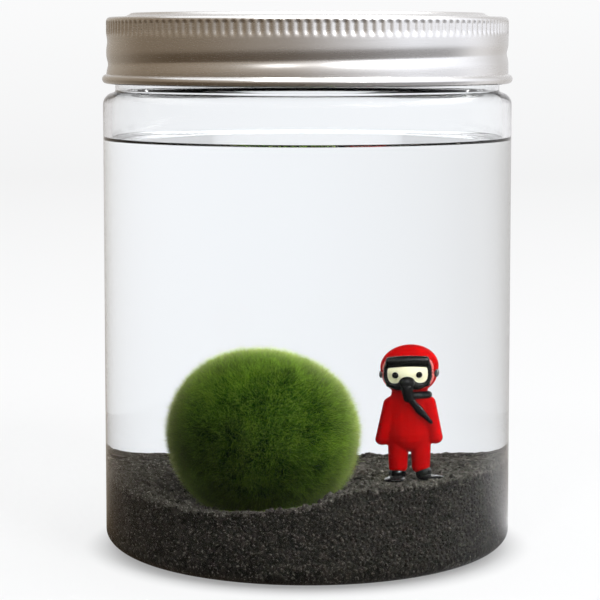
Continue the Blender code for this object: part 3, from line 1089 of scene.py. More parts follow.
@dataclass
class Water:
    """The water, with its surface drawn up in a meniscus at the glass."""

    jar: Jar
    finishes: Finishes
    overlap: float = 0.08 * MM
    settle: float = 1.0 * MM
    rings: int = 44
    climb: float = 0.95 * MM
    reach: float = 1.05 * MM
    steps: int = 192

    def outline(self) -> list[Point2]:
        """Return the outline: across the surface, up the meniscus and down the wall.

        Returns:
            The (r, z) points.
        """
        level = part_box("water")[1].z - self.settle
        radius = self.jar.inner + self.overlap
        points = []
        for ring in range(self.rings + 1):
            r = radius * (1.0 - (1.0 - ring / self.rings) ** 2.6)
            points.append((r, level + self.climb * math.exp(-(radius - r) / self.reach)))
        heel = self.jar.inner_heel(-self.overlap)
        points += straight(points[-1], (radius, heel[0][1]), 20)
        points += heel
        points += straight(points[-1], (0.0, heel[-1][1]), 5)
        return points

    def build(self) -> None:
        """Build the body of water."""
        piece = shaped("clear_water", spun(self.outline(), self.steps), 70.0)
        dressed(piece, self.finishes.water, Body.VESSEL, "water", "water")


@dataclass
class Lid:
    """The pressed lid: raised panel, fluted edge, rolled thread and curled hem."""

    finishes: Finishes
    metal: float = 0.45 * MM
    corner: float = 1.0 * MM
    panel: float = 40.2 * MM
    panel_rise: float = 0.9 * MM
    flutes: int = 146
    steps_per_flute: int = 6
    flute_depth: float = 0.27 * MM
    flute_top: float = 118.6 * MM
    flute_foot: float = 115.0 * MM
    roll_depth: float = 0.38 * MM
    roll_width: float = 1.2 * MM
    roll_pitch: float = 5.08 * MM
    roll_start: float = 106.3 * MM
    bead: float = 1.0 * MM
    skirt: float = 44.85 * MM

    def __post_init__(self) -> None:
        """Take the outer size from the frame."""
        low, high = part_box("lid")
        self.hem = low.z
        self.top = high.z
        self.bead_reach = high.x

    def outline(self) -> list[Point2]:
        """Return the shell's outline, down the outside and back up the inside.

        Returns:
            The (r, z) points.
        """
        edge = self.top - self.panel_rise
        points = [(0.0, self.top)]
        points += straight(points[-1], (self.panel - 1.2 * MM, self.top), 8)
        points += arc((self.panel - 1.2 * MM, self.top - 0.8 * MM), 0.8 * MM, 80, 40, 3)
        points += straight(points[-1], (self.panel + 0.6 * MM, edge + 0.02 * MM), 2)
        points += straight(points[-1], (self.skirt - self.corner, edge), 3)
        points += arc((self.skirt - self.corner, edge - self.corner), self.corner, 78, 0, 6)
        points += straight(points[-1], (self.skirt, self.flute_foot - 0.5 * MM), 12)
        bead_middle = self.hem + self.bead
        points += straight(points[-1], (self.skirt, bead_middle + self.bead * 1.05), 30)
        points += arc((self.bead_reach - self.bead, bead_middle), self.bead, 62, -150, 14)
        inside = self.skirt - self.metal
        points += straight(points[-1], (inside, self.hem + 0.9 * MM), 1)
        points += straight(points[-1], (inside, edge - 1.6 * MM), 12)
        points += arc((inside - 0.8 * MM, edge - self.metal - 0.8 * MM), 0.8 * MM, 0, 90, 3)
        points += straight(points[-1], (self.panel, edge - self.metal), 1)
        points += straight(points[-1], (self.panel - 1.5 * MM, self.top - self.metal), 1)
        points += straight(points[-1], (0.0, self.top - self.metal), 3)
        return points

    def roll(self, angle: float, height: float) -> float:
        """Return how far the rolled thread presses the skirt in at an angle and a height.

        Args:
            angle: The angle round the axis.
            height: The height above the base.

        Returns:
            The depth of the press.
        """
        deepest = 0.0
        for part in (angle / math.tau, angle / math.tau + 1.0):
            ends = smoothstep(-0.1, 0.05, part) * (1.0 - smoothstep(1.45, 1.6, part))
            off = (height - self.roll_start - self.roll_pitch * part) / self.roll_width
            deepest = max(deepest, math.exp(-(off**2)) * ends)
        return deepest * self.roll_depth

    def flute(self, angle: float, height: float) -> float:
        """Return how far a flute is pressed in at an angle and a height.

        Args:
            angle: The angle round the axis.
            height: The height above the base.

        Returns:
            The depth of the press.
        """
        phase = (angle * self.flutes / math.tau) % 1.0
        across = max(0.0, 1.0 - ((phase - 0.5) / 0.31) ** 2)
        ends = smoothstep(self.flute_foot, self.flute_foot + 1.3 * MM, height)
        ends *= 1.0 - smoothstep(self.flute_top - 0.5 * MM, self.flute_top + 0.1 * MM, height)
        return self.flute_depth * across * ends

    def build(self) -> None:
        """Build the shell, then press the flutes and the thread into it."""
        shape = spun(self.outline(), self.flutes * self.steps_per_flute)
        edge = self.top - self.panel_rise
        for vert in shape.verts:
            reach = math.hypot(vert.co.x, vert.co.y)
            if reach < self.skirt - self.metal - 0.1 * MM or vert.co.z > edge - 0.05 * MM:
                continue
            if vert.co.z < self.hem + 2.0 * self.bead:
                continue
            angle = math.atan2(vert.co.y, vert.co.x) % math.tau
            press = self.roll(angle, vert.co.z)
            if reach > self.skirt - self.metal * 0.5:
                press += self.flute(angle, vert.co.z)
            shrink = 1.0 - press / reach
            vert.co.x *= shrink
            vert.co.y *= shrink
        piece = shaped("aluminium_lid", shape, 50.0)
        dressed(piece, self.finishes.aluminium, Body.CAP, "satin_aluminium", "lid")

    def build_liner(self) -> None:
        """Build the soft sealing disc, its lower edge rounded."""
        low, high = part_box("lid_liner")
        soft = 0.4 * MM
        points = [(0.0, high.z)]
        points += straight(points[-1], (high.x - soft, high.z), 4)
        points += arc((high.x - soft, high.z - soft), soft, 90, 0, 4)
        points += arc((high.x - soft, low.z + soft), soft, 0, -90, 4)
        ring = 41.9 * MM
        points += straight(points[-1], (ring + 1.2 * MM, low.z), 2)
        points += arc((ring, low.z - 0.05 * MM), 0.9 * MM, 10, 170, 6)
        points += straight(points[-1], (0.0, low.z), 4)
        piece = shaped("sealing_disc", spun(points, 128), 60.0)
        dressed(piece, self.finishes.foam, Body.SEAL, "liner_foam", "lid_liner")


# ---------------------------------------------------------------------------
# Gravel and moss
# ---------------------------------------------------------------------------


@dataclass
class Gravel:
    """A bed of dark grains with a mound along the right front wall and a dip under the ball."""

    jar: Jar
    finishes: Finishes
    level: float = 17.4 * MM
    back_rise: float = -0.6 * MM
    mound_rise: float = 3.9 * MM
    hollow_drop: float = 1.2 * MM
    dip: float = 3.0 * MM
    lumps: float = 0.62 * MM
    clumps: float = 0.75 * MM
    grain: float = 0.72 * MM
    sink: float = 0.80 * MM
    density: float = 7.0e6
    top_spacing: float = 0.84 * MM
    side_spacing: float = 0.86 * MM
    top_scale: Point2 = (0.80, 1.55)
    side_scale: Point2 = (0.80, 1.0)
    kinds: int = 8
    clearance: float = 0.06 * MM
    seed: int = 7

    def __post_init__(self) -> None:
        """Take the ball's place from the frame."""
        low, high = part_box("moss_ball")
        self.ball = (low + high) / 2

    def height(self, x: float, y: float) -> float:
        """Return the bed's height at a place.

        Args:
            x: The place's x.
            y: The place's y.

        Returns:
            The height above the base.
        """
        reach = math.hypot(x, y)
        bearing = math.degrees(math.atan2(x, -y))
        near_wall = smoothstep(24.0 * MM, 43.0 * MM, reach)
        mound = smoothstep(-4.0, 14.0, bearing) * (1.0 - smoothstep(75.0, 115.0, bearing))
        hollow = smoothstep(-75.0, -45.0, bearing) * (1.0 - smoothstep(-30.0, -8.0, bearing))
        rise = self.back_rise * smoothstep(-10.0 * MM, 40.0 * MM, y)
        away = math.hypot(x - self.ball.x, y - self.ball.y)
        dip = self.dip * (1.0 - smoothstep(17.0 * MM, 23.0 * MM, away)) * (1.0 - near_wall * 0.4)
        return self.level + rise - dip + near_wall * (self.mound_rise * mound - self.hollow_drop * hollow)

    def surface(self, sink: float) -> tuple[bpy.types.Object, bpy.types.Object]:
        """Build the two carriers, sunk by sink: the upper surface, and the side with the heel.

        Args:
            sink: How far below the grains' outer skin they lie.

        Returns:
            The upper and the side carrier.
        """
        radius = self.jar.inner - sink
        top = [(0.0, self.level)] + straight((0.0, self.level), (radius, self.level), 44)
        upper = spun(top, 180)
        for vert in upper.verts:
            place = Vector((vert.co.x, vert.co.y, 0.0))
            swell = noise.noise(place / (2.6 * MM)) * self.clumps * 1.6
            swell += noise.noise(place / (0.9 * MM) + Vector((31.7, 11.3, 5.9))) * self.lumps * 2.0
            near_wall = smoothstep(radius - 2.0 * MM, radius, place.length)
            vert.co.z = self.height(place.x, place.y) - sink + swell * (1.0 - 0.5 * near_wall)
        heel = self.jar.inner_heel(sink)
        wall_foot = heel[0][1]
        side_top = self.level - 1.0 * MM
        side = [(radius, side_top)]
        side += straight(side[0], (radius, wall_foot), 14)
        side += heel
        side += straight(side[-1], (0.0, heel[-1][1]), 6)
        lower = spun(side, 180)
        for vert in lower.verts:
            if vert.co.z > wall_foot:
                t = (vert.co.z - wall_foot) / (side_top - wall_foot)
                rim = self.height(vert.co.x, vert.co.y) - sink
                vert.co.z = wall_foot + (rim - wall_foot) * t
        return shaped("bed_top", upper), shaped("bed_side", lower)

    def stones(self, count: int) -> list[bpy.types.Object]:
        """Build a few small rough stones that the scatter picks from.

        Args:
            count: How many different stones to build.

        Returns:
            The stones, unlinked from the scene.
        """
        rng = random.Random(self.seed + 1)
        made = []
        for index in range(count):
            shape = bmesh.new()
            bmesh.ops.create_icosphere(shape, subdivisions=1, radius=self.grain)
            stretch = [rng.uniform(0.75, 1.15) for _ in range(3)]
            bmesh.ops.scale(shape, vec=stretch, verts=shape.verts)
            for vert in shape.verts:
                vert.co *= rng.uniform(0.80, 1.18)
            stone = shaped(f"stone_{index}", shape, 25.0)
            bpy.context.scene.collection.objects.unlink(stone)
            made.append(stone)
        return made

    def build(self) -> None:
        """Build the solid bed, then the grains over it."""
        top, side = self.surface(self.sink)
        even = (self.density, Spread.EVEN)
        grains = Scatter("grains_top", *even, self.top_spacing, self.top_scale, self.seed, 0.6, 1.5)
        upper = grains.build(top, self.stones(self.kinds))
        dressed(upper, self.finishes.paler_top, Body.VESSEL, "dark_gravel", "gravel")
        grains = Scatter("grains_side", *even, self.side_spacing, self.side_scale, self.seed + 5, 0.0, 1.5)
        lower = grains.build(side, self.stones(self.kinds))
        self.press(lower)
        dressed(lower, self.finishes.stones, Body.VESSEL, "dark_gravel", "gravel")
        shape = bmesh.new()
        shape.from_mesh(top.data)
        shape.from_mesh(side.data)
        bmesh.ops.remove_doubles(shape, verts=shape.verts, dist=0.01 * MM)
        for carrier in (top, side):
            bpy.data.objects.remove(carrier, do_unlink=True)
        bed = shaped("gravel_bed", shape)
        dressed(bed, self.finishes.bed, Body.VESSEL, "dark_gravel", "gravel")

    def press(self, piece: bpy.types.Object) -> None:
        """Press the outermost points of the grains flat against the glass.

        Args:
            piece: The grains along the side.
        """
        limit = self.jar.inner - self.clearance
        floor = self.jar.floor + self.clearance
        for vert in piece.data.vertices:
            reach = math.hypot(vert.co.x, vert.co.y)
            if reach > limit:
                vert.co.x *= limit / reach
                vert.co.y *= limit / reach
            vert.co.z = max(vert.co.z, floor)


@dataclass
class MossBall:
    """The marimo: a dark core under several coats of fine leaning threads."""

    finishes: Finishes
    thread: float = 2.8 * MM
    settle: float = 0.9 * MM
    stretch: float = 1.02
    core_share: float = 0.66
    coats: int = 4
    density: float = 2.0e6
    kinds: int = 10
    threads_per_tuft: int = 7
    lean: float = 2.3
    tumble: float = 0.25
    tuft_scale: Point2 = (0.75, 1.05)
    seed: int = 31

    def __post_init__(self) -> None:
        """Take the ball's place and size from the frame."""
        low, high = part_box("moss_ball")
        self.radius = (high.x - low.x) / 2
        self.core_radius = self.radius - self.thread * self.core_share
        self.centre = (low + high) / 2 - Vector((0.0, 0.0, self.settle))

    def core(self) -> bpy.types.Object:
        """Build the round core, slightly uneven as a rolled ball is.

        Returns:
            The core.
        """
        shape = bmesh.new()
        bmesh.ops.create_icosphere(shape, subdivisions=5, radius=self.core_radius)
        for vert in shape.verts:
            way = vert.co.normalized()
            swell = math.sin(way.x * 5.1 + 0.6) * math.sin(way.z * 4.3 + 1.9) * math.cos(way.y * 4.7)
            vert.co *= 1.0 + 0.012 * swell
            vert.co.z *= self.stretch
        bmesh.ops.translate(shape, vec=self.centre, verts=shape.verts)
        return shaped("moss_core", shape)

    def tuft(self, index: int, rng: random.Random) -> bpy.types.Object:
        """Build one tuft: a few bent, tapering threads with their own UV strip.

        Args:
            index: The tuft's number.
            rng: The seeded random source.

        Returns:
            The tuft, unlinked from the scene.
        """
        shape = bmesh.new()
        for _ in range(self.threads_per_tuft):
            made = bmesh.ops.create_grid(shape, x_segments=1, y_segments=2, size=0.5, calc_uvs=False)["verts"]
            self.bend(made, rng)
        layer = shape.loops.layers.uv.new("UVMap")
        shade = rng.random()
        for face in shape.faces:
            for loop in face.loops:
                loop[layer].uv = (shade, min(max(loop.vert.co.z / self.thread, 0.0), 1.0))
        bmesh.ops.remove_doubles(shape, verts=shape.verts, dist=0.002 * MM)
        bmesh.ops.triangulate(shape, faces=shape.faces)
        made = shaped(f"tuft_{index}", shape, 180.0)
        bpy.context.scene.collection.objects.unlink(made)
        return made

    def bend(self, verts: Sequence[bmesh.types.BMVert], rng: random.Random) -> None:
        """Stand one flat strip up as a thread: thin, tapering, leaning and curved.

        Args:
            verts: The strip's vertices.
            rng: The seeded random source.
        """
        width = rng.uniform(0.045, 0.085) * MM
        length = self.thread * rng.uniform(0.72, 1.08)
        foot = Vector((rng.uniform(-0.3, 0.3), rng.uniform(-0.3, 0.3), 0.0)) * MM
        face = Matrix.Rotation(rng.uniform(0.0, math.tau), 3, "Z")
        way = Vector((rng.gauss(0.0, 0.30), rng.gauss(0.0, 0.30), 1.0))
        curl = Vector((rng.gauss(0.0, 0.30), rng.gauss(0.0, 0.30), 0.0))
        for vert in verts:
            up = vert.co.y + 0.5
            taper = (1.0, 0.8, 0.0)[round(up * 2)]
            side = face @ Vector((vert.co.x * width * taper, 0.0, 0.0))
            vert.co = foot + side + (way * up + curl * up * up) * length

    def build(self) -> None:
        """Build the core and its coats of threads."""
        core = self.core()
        dressed(core, self.finishes.core, Body.VESSEL, "moss", "moss_ball")
        rng = random.Random(self.seed)
        for coat in range(self.coats):
            tufts = [self.tuft(index, rng) for index in range(self.kinds)]
            name = f"moss_threads_{coat + 1}"
            seed = self.seed + 11 * coat
            loose = (self.density, Spread.RANDOM, 0.0, self.tuft_scale)
            scatter = Scatter(name, *loose, seed, self.lean, self.tumble)
            threads = scatter.build(core, tufts)
            dressed(threads, self.finishes.threads, Body.VESSEL, "moss", "moss_ball")


# ---------------------------------------------------------------------------
# The toy diver
# ---------------------------------------------------------------------------


@dataclass
class Diver:
    """A small moulded diver in a red suit with a black mask, regulator and fins."""

    finishes: Finishes
    voxel: float = 0.24 * MM
    settle: float = 0.8 * MM

    def __post_init__(self) -> None:
        """Take the figure's place from the frame."""
        low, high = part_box("diver_suit")
        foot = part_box("diver_fin_left")[0].z - self.settle
        self.place = Vector(((low.x + high.x) / 2, -6.0 * MM, foot))
        self.head = Vector((0.0, 0.0, 25.4 * MM))
        self.jaw = self.head + Vector((0.0, 0.1, -1.7)) * MM
        self.jaw_radii = Vector((4.95, 4.5, 4.3)) * MM
        self.mask_height = 24.5 * MM
        self.head_radii = Vector((5.25, 4.9, 5.0)) * MM

    def point(self, x: float, y: float, z: float) -> Vector:
        """Return a point of the figure given in millimetres from between its feet."""
        return Vector((x, y, z)) * MM

    def fused(self, name: str, shape: bmesh.types.BMesh, voxel: float, smooth: int) -> bpy.types.Object:
        """Fuse overlapping shapes into one soft moulded skin and place it.

        Args:
            name: The piece's name.
            shape: The overlapping shapes.
            voxel: The size of the fused skin's cells.
            smooth: How many times the skin is smoothed.

        Returns:
            The finished object.
        """
        piece = shaped(name, shape, 180.0)
        remesh = piece.modifiers.new("fuse", "REMESH")
        remesh.mode = "VOXEL"
        remesh.voxel_size = voxel
        remesh.use_smooth_shade = True
        soften = piece.modifiers.new("soften", "SMOOTH")
        soften.factor = 0.5
        soften.iterations = smooth
        applied(piece)
        piece.data.shade_smooth()
        return placed(piece, self.place)

    def build_suit(self) -> None:
        """Build the body, arms, legs and hood as one moulding."""
        shape = bmesh.new()
        ellipsoid(shape, self.head, self.head_radii, 40)
        ellipsoid(shape, self.jaw, self.jaw_radii, 40)
        limb(shape, self.point(0, 0.1, 19.9), self.point(0, 0.1, 17.4), 3.3 * MM, 3.6 * MM, 0.75)
        limb(shape, self.point(0, 0.1, 17.2), self.point(0, 0, 10.6), 3.7 * MM, 3.95 * MM, 0.78)
        for side in (-1.0, 1.0):
            shoulder, hand = self.point(3.0 * side, 0.1, 17.2), self.point(4.78 * side, -0.2, 9.5)
            limb(shape, shoulder, hand, 1.8 * MM, 1.38 * MM, 1.05)
            hip, ankle = self.point(2.0 * side, 0, 9.5), self.point(2.05 * side, 0, 3.3)
            limb(shape, hip, ankle, 1.95 * MM, 1.72 * MM, 1.0)
        suit = self.fused("diver_red_suit", shape, self.voxel, 6)
        dressed(suit, self.finishes.red, Body.VESSEL, "red_suit", "diver_suit")

    def shell(self, x: float, z: float, out: float) -> float:
        """Return the y of the hood's surface, pushed out by a distance, at a place seen from the front.

        Args:
            x: The place's x.
            z: The place's height.
            out: How far the surface is pushed out.

        Returns:
            The surface's y.
        """
        fronts = []
        for centre, radii in ((self.head, self.head_radii), (self.jaw, self.jaw_radii)):
            inside = 1.0 - (x / (radii.x + out)) ** 2 - ((z - centre.z) / (radii.z + out)) ** 2
            fronts.append(centre.y - (radii.y + out) * math.sqrt(max(inside, 0.02)))
        return min(fronts)

    def rim_point(self, turn: float, grow: float, out: float) -> Vector:
        """Return a point of the mask's rounded outline, grown and pushed out by distances.

        Args:
            turn: The angle round the outline.
            grow: How much wider the outline is made.
            out: How far in front of the hood it lies.

        Returns:
            The point.
        """
        c, s = math.cos(turn), math.sin(turn)
        power = 0.66
        x = (4.02 * MM + grow) * math.copysign(abs(c) ** power, c)
        z = self.mask_height + (3.10 * MM + grow) * math.copysign(abs(s) ** power, s)
        return Vector((x, self.shell(x, z, out), z))

    def build_mask(self) -> None:
        """Build the glossy frame with its thick brow, nose hump and two-lobed lower edge."""
        shape = bmesh.new()
        links = 52
        for link in range(links):
            spot = self.rim_point(math.tau * link / links, 0.0, 0.30 * MM)
            ellipsoid(shape, spot, (0.50 * MM, 0.75 * MM, 0.50 * MM), 12)
        for step in range(-8, 9):
            x = step * 0.44 * MM
            brow = self.mask_height + (2.70 - 0.35 * (step / 8) ** 2) * MM
            ridge = Vector((x, self.shell(x, brow, 0.40 * MM), brow))
            ellipsoid(shape, ridge, (0.6 * MM, 0.95 * MM, 1.30 * MM), 14)
            edge = self.mask_height + (-2.15 + 1.75 * math.exp(-((x / (1.2 * MM)) ** 2))) * MM
            foot = self.mask_height - (3.45 - 0.35 * math.cos(step * 0.8)) * MM
            half = (edge - foot) / 2
            lobe = Vector((x, self.shell(x, (edge + foot) / 2, 0.25 * MM), (edge + foot) / 2))
            ellipsoid(shape, lobe, (0.55 * MM, 0.85 * MM, half + 0.1 * MM), 14)
        nose = self.point(0, -5.55, self.mask_height / MM - 2.0)
        ellipsoid(shape, nose, (1.60 * MM, 0.95 * MM, 1.40 * MM), 20)
        mask = self.fused("diver_black_mask", shape, 0.15 * MM, 3)
        dressed(mask, self.finishes.black, Body.VESSEL, "gloss_black", "diver_mask")

    def build_trim(self) -> None:
        """Build the pale rim of the hood round the mask, and the grey strap ends."""
        shape = bmesh.new()
        links = 60
        for link in range(links):
            spot = self.rim_point(math.tau * link / links, 0.42 * MM, 0.10 * MM)
            ellipsoid(shape, spot, (0.34 * MM, 0.5 * MM, 0.34 * MM), 10)
        trim = self.fused("diver_hood_trim", shape, 0.14 * MM, 2)
        dressed(trim, self.finishes.trim, Body.VESSEL, "red_suit", "diver_suit")
        strap = bmesh.new()
        for side in (-1.0, 1.0):
            ellipsoid(strap, self.point(5.02 * side, -0.7, 24.0), (0.40 * MM, 1.7 * MM, 0.9 * MM), 20)
        buckles = self.fused("diver_strap_ends", strap, 0.15 * MM, 2)
        dressed(buckles, self.finishes.grey, Body.VESSEL, "gloss_black", "diver_mask")

    def build_face(self) -> None:
        """Build the cream face plate, curved with the hood."""
        shape = bmesh.new()
        made = bmesh.ops.create_grid(shape, x_segments=28, y_segments=20, size=1.0)["verts"]
        for vert in made:
            x, z = vert.co.x * 3.85 * MM, self.mask_height + vert.co.y * 2.9 * MM
            vert.co = Vector((x, self.shell(x, z, 0.42 * MM), z))
        bmesh.ops.solidify(shape, geom=shape.faces[:], thickness=-0.3 * MM)
        bmesh.ops.recalc_face_normals(shape, faces=shape.faces)
        face = placed(shaped("diver_cream_face", shape), self.place)
        dressed(face, self.finishes.cream, Body.VESSEL, "cream_face", "diver_face")

    def build_eyes(self) -> None:
        """Build the two glossy bead eyes."""
        for side, word, node in ((-1.0, "left", "diver_eye_left"), (1.0, "right", "diver_eye_right")):
            shape = bmesh.new()
            x, z = 2.2 * MM * side, 24.15 * MM
            bead = Vector((x, self.shell(x, z, 0.46 * MM), z))
            ellipsoid(shape, bead, (0.62 * MM, 0.52 * MM, 0.70 * MM), 24)
            eye = placed(shaped(f"diver_bead_eye_{word}", shape), self.place)
            dressed(eye, self.finishes.black, Body.VESSEL, "gloss_black", node)

    def build_regulator(self) -> None:
        """Build the drop-shaped mouthpiece, and the two hoses that lie on the chest."""
        shape = bmesh.new()
        limb(shape, self.point(0, -5.45, 21.4), self.point(0.2, -4.75, 19.0), 1.20 * MM, 0.95 * MM)
        regulator = self.fused("diver_mouthpiece", shape, 0.15 * MM, 2)
        dressed(regulator, self.finishes.black, Body.VESSEL, "gloss_black", "diver_regulator")
        hose = bmesh.new()
        limb(hose, self.point(0.6, -4.2, 19.5), self.point(3.6, -3.0, 19.5), 0.80 * MM, 0.88 * MM)
        limb(hose, self.point(0.5, -4.0, 18.6), self.point(2.3, -3.35, 15.9), 0.62 * MM, 0.80 * MM)
        limb(hose, self.point(2.3, -3.35, 15.9), self.point(4.2, -2.2, 13.2), 0.80 * MM, 0.36 * MM)
        tube = self.fused("diver_chest_hose", hose, 0.15 * MM, 2)
        dressed(tube, self.finishes.black, Body.VESSEL, "gloss_black", "diver_hose")

    def build_fins(self) -> None:
        """Build the two glossy boots, each with its flat fin."""
        boots = (
            ("left", (-2.20, -0.1, 1.75), (1.52, 1.7, 1.75), (-2.60, -1.4, 0.62), (1.95, 2.5, 0.66)),
            ("right", (2.55, -0.1, 1.75), (1.46, 1.6, 1.75), (4.05, -0.9, 0.72), (2.45, 1.9, 0.52)),
        )
        for word, foot, foot_radii, blade, blade_radii in boots:
            shape = bmesh.new()
            ellipsoid(shape, self.point(*foot), [r * MM for r in foot_radii], 24)
            ellipsoid(shape, self.point(*blade), [r * MM for r in blade_radii], 28)
            fin = self.fused(f"diver_black_fin_{word}", shape, 0.16 * MM, 2)
            dressed(fin, self.finishes.black, Body.VESSEL, "gloss_black", f"diver_fin_{word}")

    def build(self) -> None:
        """Build the whole figure."""
        self.build_suit()
        self.build_face()
        self.build_trim()
        self.build_mask()
        self.build_eyes()
        self.build_regulator()
        self.build_fins()


# ---------------------------------------------------------------------------
# The studio
# ---------------------------------------------------------------------------


@dataclass
class Studio:
    """A round light tent on a pale floor, and the camera."""

    radius: float = 1.7
    cove: float = 0.35
    height: float = 1.7
    distance: float = 0.492
    eye_height: float = 0.115
    focal: float = 131.4
    tilt_deg: float = 5.30
    yaw_deg: float = 0.19
    shift: float = -0.10
    pale: Colour = (0.955, 0.957, 0.96)
    spill: float = 0.60
    cloth_share: float = 0.18

    def build_camera(self) -> None:
        """Build the camera in front of the jar."""
        data = bpy.data.cameras.new("camera")
        data.lens = self.focal
        data.sensor_width = 36.0
        data.shift_y = self.shift
        data.clip_start = 0.01
        data.clip_end = 20.0
        camera = bpy.data.objects.new("camera", data)
        bpy.context.scene.collection.objects.link(camera)
        camera.location = (0.0, -self.distance, self.eye_height)
        camera.rotation_euler = (math.radians(90.0 - self.tilt_deg), 0.0, math.radians(self.yaw_deg))
        bpy.context.scene.camera = camera

    def build_tent(self) -> None:
        """Build the floor and the wall that rises from it in one sweep."""
        wall = self.radius
        points = [(0.0, 0.0)] + straight((0.0, 0.0), (wall - self.cove, 0.0), 6)
        points += arc((wall - self.cove, self.cove), self.cove, -90, 0, 16)
        points += straight(points[-1], (wall, self.height), 8)
        shape = spun(points, 96)
        bmesh.ops.reverse_faces(shape, faces=shape.faces)
        tent = shaped("studio_tent", shape, 180.0)
        tent.data.materials.append(self.tent_material())

    def glows(self, sheet: Sheet, parts: bpy.types.Node) -> tuple[bpy.types.NodeSocket, ...]:
        """Return the wall's glow by bearing: for mirrored light, and for light that comes through.

        Args:
            sheet: The material's sheet.
            parts: The node that splits the place into x, y and z.

        Returns:
            The colours of mirrored light, light that comes through, the floor's share and the upper wall.
        """
        bearing = sheet.maths("ARCTAN2", parts.outputs[0], sheet.maths("MULTIPLY", parts.outputs[1], -1.0))
        turn = sheet.maths("MULTIPLY_ADD", bearing, 1.0 / math.tau, 0.5)
        mirrored = sheet.ramp(
            turn,
            (
                (0.00, (0.80, 0.80, 0.82)),
                (0.09, (0.46, 0.40, 0.33)),
                (0.20, (0.26, 0.20, 0.14)),
                (0.34, (0.33, 0.265, 0.195)),
                (0.48, (0.45, 0.40, 0.35)),
                (0.58, (0.85, 0.84, 0.86)),
                (0.66, (1.42, 1.45, 1.54)),
                (0.78, (1.25, 1.27, 1.34)),
                (0.88, (0.66, 0.64, 0.63)),
                (1.00, (0.80, 0.80, 0.82)),
            ),
        )
        through = sheet.ramp(
            turn,
            (
                (0.00, (0.92, 0.93, 0.965)),
                (0.12, (0.91, 0.90, 0.915)),
                (0.30, (0.60, 0.59, 0.58)),
                (0.42, (0.80, 0.79, 0.77)),
                (0.58, (1.30, 1.30, 1.31)),
                (0.72, (1.20, 1.21, 1.23)),
                (0.88, (1.05, 1.06, 1.11)),
                (1.00, (0.92, 0.93, 0.965)),
            ),
        )
        ground = sheet.ramp(
            turn,
            (
                (0.00, (1.00, 1.00, 1.00)),
                (0.16, (0.80, 0.80, 0.80)),
                (0.27, (0.34, 0.30, 0.25)),
                (0.36, (0.30, 0.26, 0.22)),
                (0.64, (0.26, 0.25, 0.24)),
                (0.745, (0.32, 0.31, 0.30)),
                (0.81, (0.90, 0.88, 0.85)),
                (1.00, (1.00, 1.00, 1.00)),
            ),
        )
        upper = sheet.ramp(
            turn,
            (
                (0.00, (3.2, 3.2, 3.3)),
                (0.22, (2.6, 2.55, 2.45)),
                (0.42, (3.4, 3.4, 3.4)),
                (0.58, (13.0, 13.0, 13.1)),
                (0.78, (12.0, 12.0, 12.1)),
                (1.00, (3.2, 3.2, 3.3)),
            ),
        )
        return mirrored, through, ground, upper

    def tent_material(self) -> bpy.types.Material:
        """Build the tent's cloth: plain to the eye but for a painted shadow round the jar's foot, and glowing
        by bearing on the object.

        Returns:
            The material.
        """
        material = bpy.data.materials.new("studio_cloth")
        material.use_nodes = True
        sheet = Sheet(material.node_tree)
        shader = material.node_tree.nodes["Principled BSDF"]
        where = sheet.node("ShaderNodeTexCoord").outputs["Object"]
        parts = sheet.node("ShaderNodeSeparateXYZ", {0: where})
        mirrored, through, ground, upper = self.glows(sheet, parts)
        high = sheet.ranged(parts.outputs[2], (0.40, 0.85), kind="SMOOTHSTEP")
        through = sheet.mix(high, through, sheet.mix(1.0, through, upper, "ADD"))
        path = sheet.node("ShaderNodeLightPath")
        rise = sheet.ranged(parts.outputs[2], (0.0, self.cove * 0.4))
        glow = sheet.mix(path.outputs["Is Transmission Ray"], mirrored, through)
        spill = sheet.maths("MULTIPLY", path.outputs["Is Transmission Ray"], self.spill)
        lit_floor = sheet.mix(1.0, glow, sheet.mix(1.0, ground, spill, "LIGHTEN"), "MULTIPLY")
        away = sheet.vector("LENGTH", sheet.vector("MULTIPLY", where, (1.0, 1.0, 0.0)))
        # Painted shadow: under the jar's foot the floor's glow on the object is dimmed to three tenths, rising
        # to full by 60 mm from the axis.
        clear = sheet.ranged(away, (0.040, 0.060), kind="SMOOTHSTEP")
        shade = sheet.maths("MULTIPLY_ADD", clear, 0.7, 0.3)
        lit_floor = sheet.mix(1.0, lit_floor, shade, "MULTIPLY")
        glow = sheet.mix(rise, lit_floor, glow)
        eye = path.outputs["Is Camera Ray"]
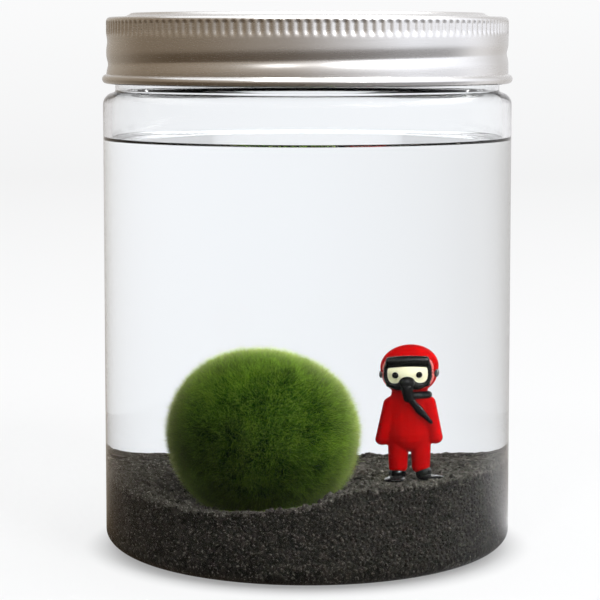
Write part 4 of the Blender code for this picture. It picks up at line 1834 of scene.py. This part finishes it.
        # Painted shadow: the pale floor seen by the camera is darkened to 0.42 at the jar's foot, fading out by
        # 51.5 mm from the axis.
        painted_foot_shadow = sheet.ranged(away, (0.040, 0.0515), (0.42, 1.0), "SMOOTHSTEP")
        cloth_with_painted_shadow = sheet.mix(1.0, (*self.pale, 1.0), painted_foot_shadow, "MULTIPLY")
        pale = sheet.mix(eye, glow, cloth_with_painted_shadow)
        shader.inputs["Base Color"].default_value = (0.50, 0.505, 0.51, 1.0)
        shader.inputs["Roughness"].default_value = 0.9
        shader.inputs["Specular IOR Level"].default_value = 0.1
        light = sheet.node("ShaderNodeEmission", {"Color": pale, "Strength": 1.0})
        flat = sheet.maths("SUBTRACT", 1.0, rise)
        cloth = sheet.maths("MULTIPLY", sheet.maths("MULTIPLY", flat, eye), self.cloth_share)
        both = sheet.node("ShaderNodeMixShader", {0: cloth, 1: light.outputs[0], 2: shader.outputs[0]})
        sheet.feed(material.node_tree.nodes["Material Output"].inputs["Surface"], both.outputs[0])
        return material

    def build_light(
        self, name: str, place: Vector, aim: Vector, size: float, power: float, colour: Colour
    ) -> None:
        """Build one square soft light.

        Args:
            name: The light's name.
            place: Its place.
            aim: The place that it faces.
            size: The length of its side.
            power: Its power.
            colour: Its colour.
        """
        data = bpy.data.lights.new(name, "AREA")
        data.shape = "SQUARE"
        data.size = size
        data.energy = power
        data.color = colour
        light = bpy.data.objects.new(name, data)
        bpy.context.scene.collection.objects.link(light)
        light.location = place
        light.rotation_euler = (aim - place).to_track_quat("-Z", "Y").to_euler()
        light.visible_camera = False

    def build_world(self) -> None:
        """Build the even sky over the tent."""
        world = bpy.data.worlds.new("studio_sky")
        world.use_nodes = True
        bpy.context.scene.world = world
        back = world.node_tree.nodes["Background"]
        back.inputs["Color"].default_value = (0.98, 0.99, 1.0, 1.0)
        back.inputs["Strength"].default_value = 1.3

    def build(self) -> None:
        """Build the camera, tent, lights and sky."""
        self.build_camera()
        self.build_tent()
        middle = Vector((0.0, 0.0, 0.05))
        self.build_light("soft_top", Vector((0.25, 0.1, 1.4)), middle, 1.0, 14.0, (1.0, 1.0, 1.0))
        self.build_light("soft_key", Vector((0.62, -0.85, 0.85)), middle, 0.42, 18.0, (1.0, 1.0, 1.0))
        self.build_light("soft_glint", Vector((-0.30, -0.95, 0.95)), middle, 0.16, 6.0, (1.0, 1.0, 1.0))
        self.build_world()
        bpy.context.scene.view_settings.view_transform = "Standard"


def main() -> None:
    """Build the studio and every piece of the object."""
    logging.basicConfig(level=logging.INFO, format="%(name)s: %(message)s")
    Studio().build()
    finishes = Finishes()
    jar = Jar(finishes)
    jar.build()
    Water(jar, finishes).build()
    lid = Lid(finishes)
    lid.build()
    lid.build_liner()
    Gravel(jar, finishes).build()
    MossBall(finishes).build()
    Diver(finishes).build()


if __name__ == "__main__":
    main()
